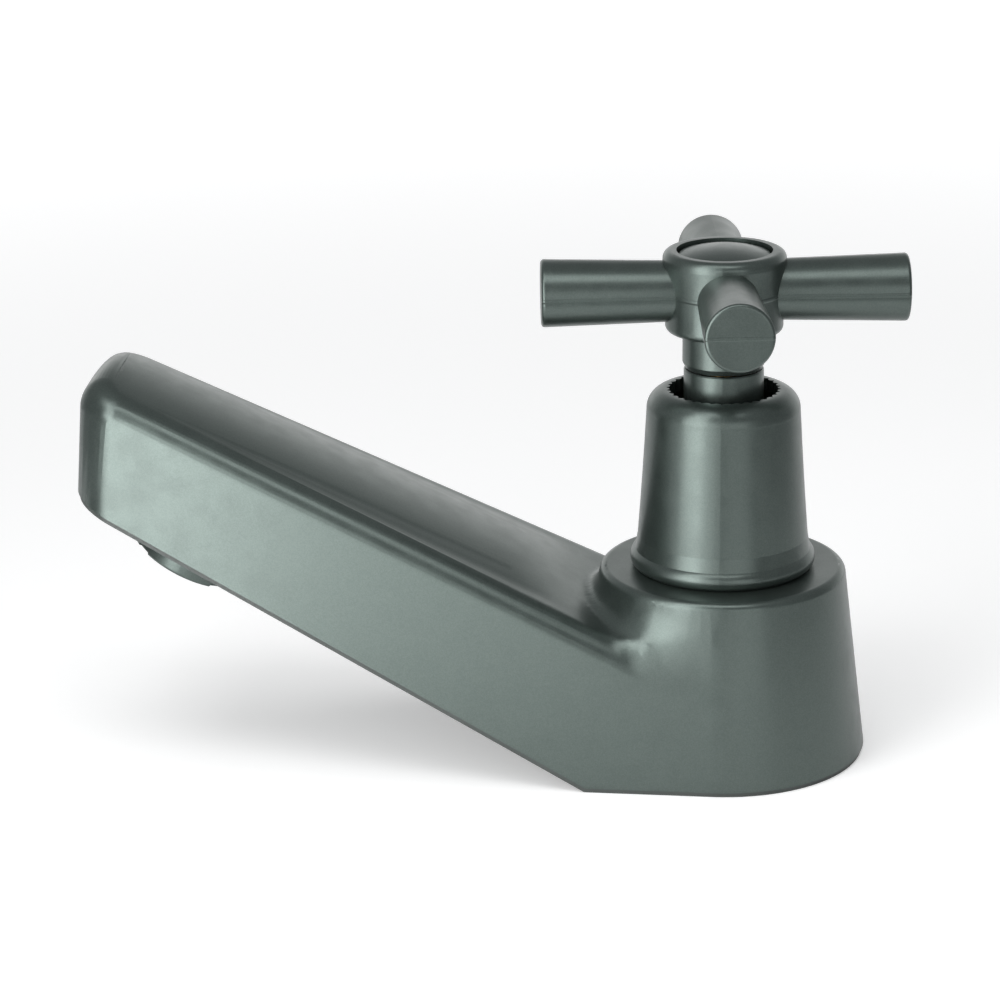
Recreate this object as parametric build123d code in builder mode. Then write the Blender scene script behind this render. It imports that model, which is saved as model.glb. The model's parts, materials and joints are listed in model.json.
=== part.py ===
from build123d import *
from math import atan, cos, degrees, pi, sin, sqrt, tan
import os

# A deck-mounted basin tap: round tapering base, climbing flat-sided spout, bell over the headwork and a
# cross handle.
# Origin: centre of the base's underside, on the axis of the handle. Z is up and the spout points along -Y.

# Gaps between pieces, on the radius or from face to face
RUN_GAP = 0.06
STEM_GAP = 0.08
SLIP_GAP = 0.15
THREAD_GAP = 0.10
SEAL_GAP = 0.03
JOINT_GAP = 0.30
OVERCUT = 1.0               # how far a cutting shape runs past the surface it cuts
SMALL = 0.01                # edges nearer than this to a height lie on it
UPRIGHT = 0.9               # vertical share of an edge's direction that makes it upright

# Moulded shell: base and spout
BASE_R = 25.0
BASE_H = 33.4
BASE_TAPER = 3.9            # radius lost from the foot to the top
BASE_EDGE = 1.4
WALL = 2.6
TOP_PLATE = 3.0
SIDE_TAPER = 0.026          # half width lost for each mm along the spout
SPOUT_DROP = 15.7           # from the base's top down to where the spout's top would meet the axis
SPOUT_DEPTH = 23.3          # from the underside straight up to the spout's top, at the outlet
SPOUT_EDGE = 4.2
SPOUT_BLEND = 2.2
BLEND_FROM = 3.0            # behind this the spout's walls and the base are all but one surface
TIP_REACH = 113.0           # reach that the end wall would have at the deck
TIP_LEAN = 0.057
TIP_CORNER = 7.0
UNDER_INSET = 2.6           # from the foot's edge back to where the flat underside turns up
UNDER_SLOPE = 0.54

# Plate that closes the shell from below
LIP = 0.8
LIP_INSET = 0.4
PLUG = 2.6

# Valve body: shank, barrel and side port
SHANK_R = 10.48
SHANK_L = 45.0
SHANK_CHAMFER = 1.0
TAIL_L = 18.0               # free threaded end below the relief groove
RELIEF_W = 1.5
RELIEF_DEPTH = 0.8
INLET_R = 6.0
BARREL_WALL = 3.4
SEAT_Z = 8.0
SEAT_T = 3.0
SEAT_BORE_R = 5.5
SEAT_WALL = 2.8
SEAT_LIP = 0.6
BOSS_WALL = 1.8
BOSS_OUT = 5.0

# Water tube along the spout
TUBE_AXIS_Z = 10.0          # height where the tube's line meets the tap's axis
TUBE_R = 4.2
TUBE_WALL = 1.3
TUBE_DEPTH = 6.0            # how far it goes into each socket
SEAL_MINOR = 0.42
SEAL_ROOM = 0.08            # beside a seal ring in its groove
SEAL_SIDES = 8              # a seal ring's section, flattened where it is squeezed

# Outlet under the tip
OUTLET_BACK = 21.5          # from the tip's reach back to the outlet's axis
OUTLET_LIFT = 10.0          # where the tube's line meets the outlet's axis
ELBOW_STEP = 1.2
ELBOW_BOSS_OUT = 7.8
ELBOW_ROOF = 2.0
CHAMBER_ROOM = 0.6          # over the tube's bore in the elbow
CHAMBER_STEP = 0.4
NOSE_WALL = 1.65
AERATOR_THREAD_R = 9.25
AERATOR_THREAD_L = 5.5
AERATOR_WASHER_T = 1.5
AERATOR_RIM = 1.05
AERATOR_H = 5.2
AERATOR_WALL = 1.35
AERATOR_LEDGE = 0.8
AERATOR_EDGE = 0.5
KEY_COUNT = 4
KEY_W = 3.2
KEY_DEPTH = 0.9
GRID_T = 2.0
GRID_HOLE_R = 0.7
GRID_PITCH = 2.1
GRID_COUNT = 5
GRID_RIM = 1.0

# Below and between
GASKET_MARGIN = 1.0
GASKET_ROOM = 1.3
GASKET_T = 1.4
DECK_T = 14.0
SHANK_WASHER_W = 5.42
SHANK_WASHER_T = 2.0
NUT_FLANGE_W = 4.82
NUT_FLANGE_T = 2.0
NUT_WALL = 1.42
NUT_H = 8.0
NUT_EDGE = 0.8

# Carrier, its washer and screw
CARRIER_LIFT = 5.0          # how far it climbs when the tap is opened
CARRIER_PLATE_RIM = 0.7
CARRIER_PLATE_T = 3.0
CARRIER_FLOOR = 2.35        # between the washer's screw and the spindle's bore
CARRIER_ROOM = 8.24         # over the carrier when the tap is shut
LIFT_ROOM = 1.5             # over its plate when the tap is open
FOOT_GAP = 0.5              # under the spindle when the tap is open
WASHER_RIM = 1.3
WASHER_T = 3.0
WASHER_SCREW_R = 1.95
WASHER_SCREW_L = 8.0
WASHER_HEAD_R = 3.4
WASHER_HEAD_H = 1.6
WASHER_HEAD_EDGE = 0.4
SLOT_W = 0.9                # screwdriver slots
SLOT_DEPTH = 0.8

# Bonnet
BONNET_THREAD_R = 9.5
BONNET_WASHER_T = 1.0
BONNET_WASHER_W = 2.5
BONNET_SHOULDER = 0.9       # from the thread out to the hexagon's flats
BONNET_HEX_H = 5.6
FLANGE_ROUND = 0.4          # turned faces of the hexagon, outside its flats
COLLAR_STEP = 1.4
COLLAR_H = 5.0
BONNET_BODY_WALL = 3.44
BONNET_BODY_H = 11.0
BONNET_NECK_WALL = 2.0
BONNET_NECK_H = 11.7

# Spindle
STEM_R = 3.87
SPINDLE_THREAD_R = 3.8
SPINDLE_EDGE = 0.6
SPINDLE_COLLAR_W = 1.53
SPINDLE_COLLAR_T = 2.6
SPINDLE_COLLAR_UP = 3.9     # its top above the bonnet's collar
COLLAR_PASS = 0.10          # between the spindle's collar and the hexagonal bore's flats
SQUARE_FLAT = 0.77
SQUARE_INSET = 2.7
STEM_SEAL_UP = (2.0, 6.5)   # above the bonnet's shoulder
STEM_SEAL_MINOR = 0.7
STEM_SEAL_ROOM = 0.1
CLIP_INSET = 0.65
CLIP_GROOVE_DEPTH = 0.67
CLIP_T = 0.6
CLIP_HOOK = 0.9
CLIP_COVER = 0.14

# Bell over the headwork: radii outside the bonnet's collar, heights above the base
BELL_FOOT_OUT = 3.10
BELL_BEAD_OUT = 4.06
BELL_GROOVE_OUT = 3.25
BELL_WAIST_OUT = 2.82
BELL_MID_OUT = 2.00
BELL_TOP_OUT = 1.32
BELL_CROWN_OUT = 1.22
BELL_BEAD_UP = 1.3
BELL_GROOVE_UP = 3.2
BELL_WAIST_UP = 5.6
BELL_MID_UP = 16.6
BELL_SHOULDER_UP = 27.8
BELL_TOP_UP = 31.4
BELL_ROUND = 3.4
BELL_WALL = 1.7
BELL_ROOF = 2.2
BELL_STEP = 0.5
MOUTH_GAP = 2.42
MOUTH_TEETH = 36
MOUTH_NOTCH = 0.55

# Fixed sleeve in the bell's mouth
SLEEVE_WALL = 0.79
SLEEVE_EDGE = 0.2

# Cross handle: heights above the hub's foot
NECK_STEP = 0.23
NECK_L = 6.3
NECK_EDGE = 0.45
HUB_FOOT_R = 10.05
HUB_FOOT_EDGE = 1.1
HUB_WAIST_R = 9.95
HUB_WAIST_UP = 6.1
HUB_RIM_R = 10.42
HUB_RIM_UP = 12.0
HUB_H = 13.9
HUB_RIM_EDGE = 1.4
ARM_UP = 6.9
ARM_REACH = 30.9
ARM_ROOT_R = 4.95
ARM_END_R = 5.75
ARM_EDGE = 0.6
ARM_TURN = 6.6              # degrees, as the handle stands when closed
ARM_COUNT = 4
RECESS_RIM = 2.31
RECESS_DEPTH = 3.0
WELL_ROOM = 0.6
WEB_T = 2.2
SCREW_R = 1.95
SCREW_L = 12.0
SCREW_HEAD_R = 3.7
SCREW_HEAD_H = 2.4
SCREW_HEAD_EDGE = 0.8
SCREW_TOP_ROOM = 0.2
SCREW_CROSS = 4.2
SCREW_CROSS_DEPTH = 1.4
CAP_GAP = 0.36
CAP_H = 2.3
CAP_DOME = 1.3
CAP_EDGE = 0.35
CAP_PLUG_L = 0.5

# Radii that follow, from the tap's axis outwards
STEM_BORE_R = STEM_R + STEM_GAP
SPINDLE_COLLAR_R = STEM_R + SPINDLE_COLLAR_W
SPINDLE_SQUARE = 2 * (STEM_R - SQUARE_FLAT)
CLIP_GROOVE_R = STEM_R - CLIP_GROOVE_DEPTH
CARRIER_HEX = 2 * (SPINDLE_COLLAR_R + COLLAR_PASS)
BONNET_NECK_R = STEM_BORE_R + BONNET_NECK_WALL
BONNET_BODY_R = CARRIER_HEX / 2 + RUN_GAP + BONNET_BODY_WALL
CLIP_R = BONNET_NECK_R - CLIP_INSET
SLEEVE_R = BONNET_NECK_R + RUN_GAP + SLEEVE_WALL
NECK_R = SLEEVE_R + NECK_STEP
MOUTH_R = SLEEVE_R + MOUTH_GAP
CHAMBER_R = BONNET_THREAD_R + THREAD_GAP
BARREL_R = CHAMBER_R + BARREL_WALL
BONNET_HEX = 2 * (BONNET_THREAD_R + BONNET_SHOULDER)
FLANGE_ROUND_R = BONNET_HEX / 2 + FLANGE_ROUND
COLLAR_R = BONNET_HEX / 2 + COLLAR_STEP
BELL_WAIST_R = COLLAR_R + BELL_WAIST_OUT
BELL_TOP_R = COLLAR_R + BELL_TOP_OUT
SEAT_R = SEAT_BORE_R + SEAT_WALL
WASHER_R = SEAT_BORE_R + WASHER_RIM
GASKET_R = BASE_R - WALL - GASKET_MARGIN
THREAD_HOLE_R = SHANK_R + THREAD_GAP
RECESS_R = HUB_RIM_R - RECESS_RIM
WELL_R = SCREW_HEAD_R + WELL_ROOM

# Heights that follow, from the carrier up to the cap
PLATE_LOW = SEAT_Z + WASHER_T
PLATE_TOP = PLATE_LOW + CARRIER_PLATE_T
BONNET_LOW_Z = PLATE_TOP + CARRIER_LIFT + LIFT_ROOM
SCREW_HOLE_TOP = SEAT_Z + WASHER_SCREW_L + SLIP_GAP
CARRIER_BORE_FLOOR = SCREW_HOLE_TOP + CARRIER_FLOOR
SPINDLE_LOW_Z = CARRIER_BORE_FLOOR + CARRIER_LIFT + FOOT_GAP
BARREL_TOP = BASE_H - TOP_PLATE
FLANGE_LOW = BASE_H + BONNET_WASHER_T
FLANGE_TOP = FLANGE_LOW + BONNET_HEX_H
COLLAR_TOP = FLANGE_TOP + COLLAR_H
SPINDLE_COLLAR_TOP = COLLAR_TOP + SPINDLE_COLLAR_UP
HEX_BORE_TOP = SPINDLE_COLLAR_TOP - SPINDLE_COLLAR_T - RUN_GAP
CARRIER_TOP = HEX_BORE_TOP - CARRIER_ROOM
BONNET_BODY_TOP = COLLAR_TOP + BONNET_BODY_H
BONNET_NECK_TOP = BONNET_BODY_TOP + BONNET_NECK_H
CLIP_LOW = BONNET_NECK_TOP + RUN_GAP
SLEEVE_TOP = CLIP_LOW + CLIP_T + CLIP_COVER
NECK_LOW = SLEEVE_TOP + JOINT_GAP
SPINDLE_SQUARE_FROM = NECK_LOW + SQUARE_INSET
HUB_LOW_Z = NECK_LOW + NECK_L
HUB_TOP_Z = HUB_LOW_Z + HUB_H
ARM_Z = HUB_LOW_Z + ARM_UP
RECESS_FLOOR = HUB_TOP_Z - RECESS_DEPTH
WEB_TOP = RECESS_FLOOR - CAP_PLUG_L - SCREW_TOP_ROOM - SCREW_HEAD_H
SPINDLE_TOP_Z = WEB_TOP - WEB_T - JOINT_GAP
CAP_EDGE_Z = RECESS_FLOOR + CAP_H

# Sizes of the outlet and the tube that follow
TUBE_BORE_R = TUBE_R - TUBE_WALL
BOSS_R = TUBE_R + BOSS_WALL
BOSS_REACH = BARREL_R + BOSS_OUT
AERATOR_R = AERATOR_THREAD_R + AERATOR_RIM
AERATOR_BORE_R = AERATOR_THREAD_R - AERATOR_WALL
ELBOW_CHAMBER_R = AERATOR_BORE_R - CHAMBER_STEP
NOSE_R = AERATOR_THREAD_R + THREAD_GAP + NOSE_WALL
ELBOW_R = NOSE_R + ELBOW_STEP
ELBOW_CHAMBER_H = OUTLET_LIFT + TUBE_BORE_R + CHAMBER_ROOM
ELBOW_H = ELBOW_CHAMBER_H + ELBOW_ROOF

# Lines of the spout's side view, where u is the distance from the axis towards the tip
BASE_TOP_R = BASE_R - BASE_TAPER
CONE_SLOPE = BASE_TAPER / BASE_H
DRAFT = degrees(atan(CONE_SLOPE))
WALL_TURN = atan(SIDE_TAPER)
UNDER_START = BASE_R - UNDER_INSET
UNDER_K = sqrt(1 + UNDER_SLOPE**2)
OUTLET_U = TIP_REACH - OUTLET_BACK
OUTLET_Z = UNDER_SLOPE * (OUTLET_U - UNDER_START)
SPOUT_TOP_Z = BASE_H - SPOUT_DROP
SPOUT_TOP_SLOPE = (OUTLET_Z + SPOUT_DEPTH - SPOUT_TOP_Z) / OUTLET_U
TOP_K = sqrt(1 + SPOUT_TOP_SLOPE**2)
BEYOND = BASE_R + OVERCUT
FAR = TIP_REACH + BASE_R
TALL = SPOUT_TOP_Z + SPOUT_TOP_SLOPE * FAR + OVERCUT


def tangent_walls(inset):
    """Points of the shell's two straight walls at the deck: where they leave the base, and past the tip."""
    r = BASE_R - inset
    end = r * sqrt(1 + SIDE_TAPER**2) - SIDE_TAPER * FAR
    return (r * cos(WALL_TURN), -r * sin(WALL_TURN)), (end, -FAR)


def whole_plan(inset):
    """The shell's outline at the deck: a circle with two tangent walls that run on past the tip."""
    (x, y), (end, far) = tangent_walls(inset)
    with BuildSketch() as outline:
        with BuildLine():
            Polyline((-x, y), (-end, far), (end, far), (x, y))
            ThreePointArc((x, y), (0, BASE_R - inset), (-x, y))
        make_face()
    return outline.sketch


def spout_plan(inset):
    """The spout's outline at the deck: its two straight walls, run on past the tip and past the base."""
    (x, y), (end, far) = tangent_walls(inset)
    back = x + (BEYOND - y) * SIDE_TAPER
    with BuildSketch() as outline:
        with BuildLine():
            Polyline((-back, BEYOND), (-end, far), (end, far), (back, BEYOND), close=True)
        make_face()
    return outline.sketch


def under_line(lift):
    """Corner and far end of the underside, raised by lift: two points of the YZ plane."""
    corner = UNDER_START + lift * (1 - UNDER_K) / UNDER_SLOPE
    return (-corner, lift), (-FAR, lift + UNDER_SLOPE * (FAR - corner))


def side_view(*points):
    """A closed outline seen from the side, of (y, height) points."""
    with BuildSketch(Plane.YZ) as outline:
        with BuildLine():
            Polyline(*points, close=True)
        make_face()
    return outline.sketch


def spout_view(inset, low, drop):
    """The spout from the side, from the lines where its walls leave the round base to past the tip.

    It lies between its underside, raised by low, and its top, lowered by drop.
    """
    top_at_axis = SPOUT_TOP_Z - drop * TOP_K
    r, turn = BASE_R - inset, sin(WALL_TURN)
    low_u = turn * (r - CONE_SLOPE * low)
    high_u = turn * (r - CONE_SLOPE * top_at_axis) / (1 + turn * CONE_SLOPE * SPOUT_TOP_SLOPE)
    return side_view(
        (-low_u, low),
        *under_line(low),
        (-FAR, top_at_axis + SPOUT_TOP_SLOPE * FAR),
        (-high_u, top_at_axis + SPOUT_TOP_SLOPE * high_u),
    )


def drafted_form(outline, side, inset):
    """An outline drawn up with the walls' draft, kept to a side view and closed by the leaning end wall."""
    foot = -(TIP_REACH - inset)
    with BuildPart() as form:
        extrude(outline, amount=TALL, taper=DRAFT)
        end_wall = side_view((BEYOND, 0), (foot, 0), (foot + TIP_LEAN * TALL, TALL), (BEYOND, TALL))
        extrude(end_wall, amount=BEYOND, both=True, mode=Mode.INTERSECT)
        extrude(side, amount=BEYOND, both=True, mode=Mode.INTERSECT)
        upright = form.edges().filter_by(lambda e: abs(e.tangent_at(0.5).Z) > UPRIGHT)
        fillet(upright.sort_by(Axis.Y)[:2], radius=TIP_CORNER - inset)
    return form.part


def under_layer(inset, low, high):
    """A layer of the plate under the shell, from one height above the underside to another."""
    whole = side_view((BEYOND, 0), (-FAR, 0), (-FAR, TALL), (BEYOND, TALL))
    side = side_view((BEYOND, low), *under_line(low), *reversed(under_line(high)), (BEYOND, high))
    with BuildPart() as layer:
        add(drafted_form(whole_plan(inset), whole, inset))
        extrude(side, amount=BEYOND, both=True, mode=Mode.INTERSECT)
    return layer.part


def half_section(*points):
    """Half section of a turned piece: a closed outline of (radius, height) points."""
    with BuildSketch(Plane.XZ) as section:
        with BuildLine():
            Polyline(*points, close=True)
        make_face()
    return section.sketch


def keyed_square(height, radius, across):
    """A square with its corners rounded off by a circle, as on the top of a tap's spindle."""
    with BuildSketch(Plane.XY.offset(height)) as outline:
        Circle(radius)
        Rectangle(across, across, mode=Mode.INTERSECT)
    return outline.sketch


# Planes of the outlet and of the water tube
under_angle = atan(UNDER_SLOPE)
outlet = Plane(
    origin=(0, -OUTLET_U, OUTLET_Z),
    x_dir=(1, 0, 0),
    z_dir=(0, sin(under_angle), cos(under_angle)),
)
tube_start = Vector(0, 0, TUBE_AXIS_Z)
tube_end = outlet.origin + outlet.z_dir * OUTLET_LIFT
tube_line = Plane(origin=tube_start, x_dir=(1, 0, 0), z_dir=(tube_end - tube_start).normalized())
tube_run = (tube_end - tube_start).length
boss_length = BOSS_REACH / -tube_line.z_dir.Y
elbow_boss = ELBOW_R + ELBOW_BOSS_OUT

# Moulded shell: drafted spout, tapering base, hollow inside
with BuildPart() as spout_form:
    add(drafted_form(spout_plan(0), spout_view(0, LIP, 0), 0))
    spout_top = spout_form.faces().filter_by(GeomType.PLANE).sort_by(lambda f: f.normal_at().Z)[-1]
    fillet(spout_top.edges().filter_by(lambda e: e.center().Y < -BASE_R), radius=SPOUT_EDGE)

with BuildPart() as cavity:
    add(drafted_form(spout_plan(WALL), spout_view(WALL, 0, WALL), WALL))
    roof_r = BASE_R - WALL - CONE_SLOPE * BARREL_TOP
    revolve(half_section((0, 0), (BASE_R - WALL, 0), (roof_r, BARREL_TOP), (0, BARREL_TOP)), axis=Axis.Z)

with BuildPart() as sharp_form:
    add(spout_form.part)
    foot_r = BASE_R - CONE_SLOPE * LIP
    revolve(half_section((0, LIP), (foot_r, LIP), (BASE_TOP_R, BASE_H), (0, BASE_H)), axis=Axis.Z)

# The blend in the notch between spout and base ends below the rim's rounding
cone_angle = atan(CONE_SLOPE)
notch = pi / 2 - atan(SPOUT_TOP_SLOPE) - cone_angle
notch_z = (SPOUT_TOP_Z + SPOUT_TOP_SLOPE * BASE_R) / (1 + SPOUT_TOP_SLOPE * CONE_SLOPE)
blend_room = (BASE_H - BASE_EDGE - notch_z) / cos(cone_angle) * tan(notch / 2)
with BuildPart() as blended_front:
    add(sharp_form.part)
    split(bisect_by=Plane.XZ.offset(BLEND_FROM), keep=Keep.TOP)
    meeting = blended_front.edges().filter_by(
        lambda e: -BASE_R < e.center().Y < -BLEND_FROM - SMALL
        and SPOUT_TOP_Z < e.center().Z < BASE_H - OVERCUT
        and abs(e.tangent_at(0.5).Z) < UPRIGHT
    )
    fillet(meeting, radius=min(SPOUT_BLEND, blend_room))

with BuildPart() as body_shell:
    add(sharp_form.part)
    split(bisect_by=Plane.XZ.offset(BLEND_FROM), keep=Keep.BOTTOM)
    add(blended_front.part)
    rounds = body_shell.edges().filter_by(GeomType.CIRCLE)
    fillet(rounds.filter_by(lambda e: abs(e.center().Z - BASE_H) < SMALL), radius=BASE_EDGE)
    add(cavity.part, mode=Mode.SUBTRACT)
    front_foot = side_view(*under_line(LIP), (-FAR, 0), (-UNDER_START, 0))
    extrude(front_foot, amount=BEYOND, both=True, mode=Mode.SUBTRACT)
    with BuildSketch(Plane.XY.offset(BASE_H)):
        Circle(BONNET_THREAD_R + JOINT_GAP)
    extrude(amount=-TOP_PLATE, mode=Mode.SUBTRACT)
body_shell.part.label = "body_shell"

# Plate under the shell: a thin lip below the walls and a plug that fits between them
lip = under_layer(LIP_INSET, 0, LIP)
plug = under_layer(WALL + SLIP_GAP, LIP, PLUG)
with BuildPart() as underside_cover:
    add(lip)
    add(plug)
    with BuildSketch():
        Circle(BARREL_R + SLIP_GAP)
    extrude(amount=PLUG * 2, mode=Mode.SUBTRACT)
    with BuildSketch():
        Circle(GASKET_R + SLIP_GAP)
    extrude(amount=GASKET_T, mode=Mode.SUBTRACT)
    with BuildSketch(outlet):
        Circle(NOSE_R + SLIP_GAP)
    extrude(amount=PLUG * 2, both=True, mode=Mode.SUBTRACT)
underside_cover.part.label = "underside_cover"

# Valve body: threaded shank, barrel for the headwork and a side port for the water tube
relief_low = TAIL_L - SHANK_L
relief_high = relief_low + RELIEF_W
with BuildPart() as valve_body:
    with BuildSketch(Plane.XZ):
        with BuildLine():
            Polyline(
                (0, -SHANK_L),
                (SHANK_R - SHANK_CHAMFER, -SHANK_L),
                (SHANK_R, -SHANK_L + SHANK_CHAMFER),
                (SHANK_R, relief_low),
                (SHANK_R - RELIEF_DEPTH, relief_low),
                (SHANK_R - RELIEF_DEPTH, relief_high),
                (SHANK_R, relief_high),
                (SHANK_R, 0),
                (BARREL_R, 0),
                (BARREL_R, BARREL_TOP),
                (0, BARREL_TOP),
                close=True,
            )
        make_face()
    revolve(axis=Axis.Z)
    with BuildSketch(tube_line):
        Circle(BOSS_R)
    extrude(amount=boss_length)
    with BuildSketch(Plane.XZ):
        with BuildLine():
            Polyline(
                (0, -SHANK_L),
                (INLET_R, -SHANK_L),
                (INLET_R, SEAT_Z - SEAT_T),
                (SEAT_R + RUN_GAP, SEAT_Z - SEAT_T),
                (SEAT_R + RUN_GAP, SEAT_Z - SEAT_LIP),
                (CHAMBER_R, SEAT_Z - SEAT_LIP),
                (CHAMBER_R, BARREL_TOP),
                (0, BARREL_TOP),
                close=True,
            )
        make_face()
    revolve(axis=Axis.Z, mode=Mode.SUBTRACT)
    with BuildSketch(tube_line):
        Circle(TUBE_BORE_R)
    extrude(amount=boss_length, mode=Mode.SUBTRACT)
    with BuildSketch(tube_line.offset(boss_length)):
        Circle(TUBE_R + RUN_GAP)
    extrude(amount=-TUBE_DEPTH, mode=Mode.SUBTRACT)
valve_body.part.label = "valve_body"

# Seat ring with its raised sealing lip
with BuildPart() as valve_seat:
    ring = half_section(
        (SEAT_BORE_R, SEAT_Z - SEAT_T),
        (SEAT_R, SEAT_Z - SEAT_T),
        (SEAT_R, SEAT_Z - SEAT_LIP),
        (SEAT_BORE_R + 2 * SEAT_LIP, SEAT_Z - SEAT_LIP),
        (SEAT_BORE_R + SEAT_LIP, SEAT_Z),
        (SEAT_BORE_R, SEAT_Z),
    )
    revolve(ring, axis=Axis.Z)
valve_seat.part.label = "valve_seat"

# Water tube with a seal groove near each end
tube_from = boss_length - TUBE_DEPTH + SLIP_GAP
tube_to = tube_run - elbow_boss + TUBE_DEPTH - SLIP_GAP
seal_spots = (tube_from + TUBE_DEPTH / 2, tube_to - TUBE_DEPTH / 2)
seal_groove = 2 * (SEAL_MINOR + SEAL_ROOM)
with BuildPart() as waterway_tube:
    with BuildSketch(tube_line.offset(tube_from)):
        Circle(TUBE_R)
        Circle(TUBE_BORE_R, mode=Mode.SUBTRACT)
    extrude(amount=tube_to - tube_from)
    for spot in seal_spots:
        with BuildSketch(tube_line.offset(spot - seal_groove / 2)):
            Circle(TUBE_R + OVERCUT)
            Circle(TUBE_R + RUN_GAP - 2 * SEAL_GAP - 2 * SEAL_MINOR, mode=Mode.SUBTRACT)
        extrude(amount=seal_groove, mode=Mode.SUBTRACT)
waterway_tube.part.label = "waterway_tube"

with BuildPart() as tube_seals:
    for spot in seal_spots:
        centre = tube_line.offset(spot).origin
        with BuildSketch(Plane(origin=centre, x_dir=tube_line.x_dir, z_dir=tube_line.y_dir)):
            with Locations((TUBE_R + RUN_GAP - SEAL_GAP - SEAL_MINOR, 0)):
                RegularPolygon(SEAL_MINOR, SEAL_SIDES)
        revolve(axis=Axis(centre, tube_line.z_dir))
tube_seals.part.label = "tube_seals"

# Outlet elbow: takes the tube at its side and the aerator from below
nose_depth = AERATOR_THREAD_L + AERATOR_WASHER_T
with BuildPart() as outlet_elbow:
    with BuildSketch(outlet):
        Circle(NOSE_R)
    extrude(amount=PLUG)
    with BuildSketch(outlet.offset(PLUG)):
        Circle(ELBOW_R)
    extrude(amount=ELBOW_H - PLUG)
    with BuildSketch(tube_line.offset(tube_run - elbow_boss)):
        Circle(BOSS_R)
    extrude(amount=elbow_boss)
    with BuildSketch(outlet):
        Circle(AERATOR_THREAD_R + THREAD_GAP)
    extrude(amount=nose_depth, mode=Mode.SUBTRACT)
    with BuildSketch(outlet):
        Circle(ELBOW_CHAMBER_R)
    extrude(amount=ELBOW_CHAMBER_H, mode=Mode.SUBTRACT)
    with BuildSketch(tube_line.offset(tube_run - elbow_boss)):
        Circle(TUBE_R + RUN_GAP)
    extrude(amount=TUBE_DEPTH, mode=Mode.SUBTRACT)
    with BuildSketch(tube_line.offset(tube_run - elbow_boss)):
        Circle(TUBE_BORE_R)
    extrude(amount=elbow_boss, mode=Mode.SUBTRACT)
outlet_elbow.part.label = "outlet_elbow"

# Aerator: housing with key slots, its flow grid and its washer
with BuildPart() as aerator_housing:
    with BuildSketch(outlet.offset(-SLIP_GAP)):
        Circle(AERATOR_R)
    extrude(amount=SLIP_GAP - AERATOR_H)
    fillet(aerator_housing.edges().group_by(Axis(outlet.origin, outlet.z_dir))[0], radius=AERATOR_EDGE)
    with BuildSketch(outlet.offset(-SLIP_GAP)):
        Circle(AERATOR_THREAD_R)
    extrude(amount=AERATOR_THREAD_L + SLIP_GAP)
    with BuildSketch(outlet.offset(AERATOR_LEDGE - AERATOR_H)):
        Circle(AERATOR_BORE_R)
    extrude(amount=AERATOR_THREAD_L + AERATOR_H, mode=Mode.SUBTRACT)
    with BuildSketch(outlet.offset(-AERATOR_H)):
        Circle(AERATOR_BORE_R - AERATOR_LEDGE)
    extrude(amount=AERATOR_LEDGE, mode=Mode.SUBTRACT)
    with BuildSketch(outlet.offset(-AERATOR_H)):
        with PolarLocations(AERATOR_R, KEY_COUNT, start_angle=180 / KEY_COUNT):
            Rectangle(2 * KEY_DEPTH, KEY_W)
    extrude(amount=AERATOR_H - 2 * SLIP_GAP, mode=Mode.SUBTRACT)
aerator_housing.part.label = "aerator_housing"

with BuildPart() as aerator_insert:
    with BuildSketch(outlet.offset(AERATOR_LEDGE - AERATOR_H)):
        Circle(AERATOR_BORE_R - RUN_GAP)
        with HexLocations(GRID_PITCH / 2, GRID_COUNT, GRID_COUNT):
            RegularPolygon(GRID_HOLE_R, 6, mode=Mode.SUBTRACT)
    extrude(amount=GRID_T)
    with BuildSketch(outlet.offset(AERATOR_LEDGE - AERATOR_H + GRID_T)):
        Circle(AERATOR_BORE_R - RUN_GAP)
        Circle(AERATOR_BORE_R - RUN_GAP - GRID_RIM, mode=Mode.SUBTRACT)
    extrude(amount=AERATOR_THREAD_L - AERATOR_LEDGE + AERATOR_H - GRID_T)
aerator_insert.part.label = "aerator_insert"

with BuildPart() as aerator_washer:
    with BuildSketch(outlet.offset(AERATOR_THREAD_L)):
        Circle(AERATOR_THREAD_R - SLIP_GAP)
        Circle(ELBOW_CHAMBER_R, mode=Mode.SUBTRACT)
    extrude(amount=AERATOR_WASHER_T)
aerator_washer.part.label = "aerator_washer"

# Fixings to the basin: gasket above it, washer and nut below it
with BuildPart() as base_gasket:
    with BuildSketch():
        Circle(GASKET_R)
        Circle(BARREL_R + GASKET_ROOM, mode=Mode.SUBTRACT)
    extrude(amount=GASKET_T)
base_gasket.part.label = "base_gasket"

nut_top = -DECK_T - SHANK_WASHER_T
with BuildPart() as shank_washer:
    with BuildSketch(Plane.XY.offset(nut_top)):
        Circle(THREAD_HOLE_R + SHANK_WASHER_W)
        Circle(THREAD_HOLE_R + SLIP_GAP, mode=Mode.SUBTRACT)
    extrude(amount=SHANK_WASHER_T)
shank_washer.part.label = "shank_washer"

with BuildPart() as back_nut:
    with BuildSketch(Plane.XY.offset(nut_top)):
        Circle(THREAD_HOLE_R + NUT_FLANGE_W)
    extrude(amount=-NUT_FLANGE_T)
    with BuildSketch(Plane.XY.offset(nut_top - NUT_FLANGE_T)):
        RegularPolygon(THREAD_HOLE_R + NUT_WALL, 6, major_radius=False)
    extrude(amount=NUT_FLANGE_T - NUT_H)
    chamfer(back_nut.edges().group_by(Axis.Z)[0], length=NUT_EDGE)
    with BuildSketch(Plane.XY.offset(nut_top)):
        Circle(THREAD_HOLE_R)
    extrude(amount=-NUT_H, mode=Mode.SUBTRACT)
back_nut.part.label = "back_nut"

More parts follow.
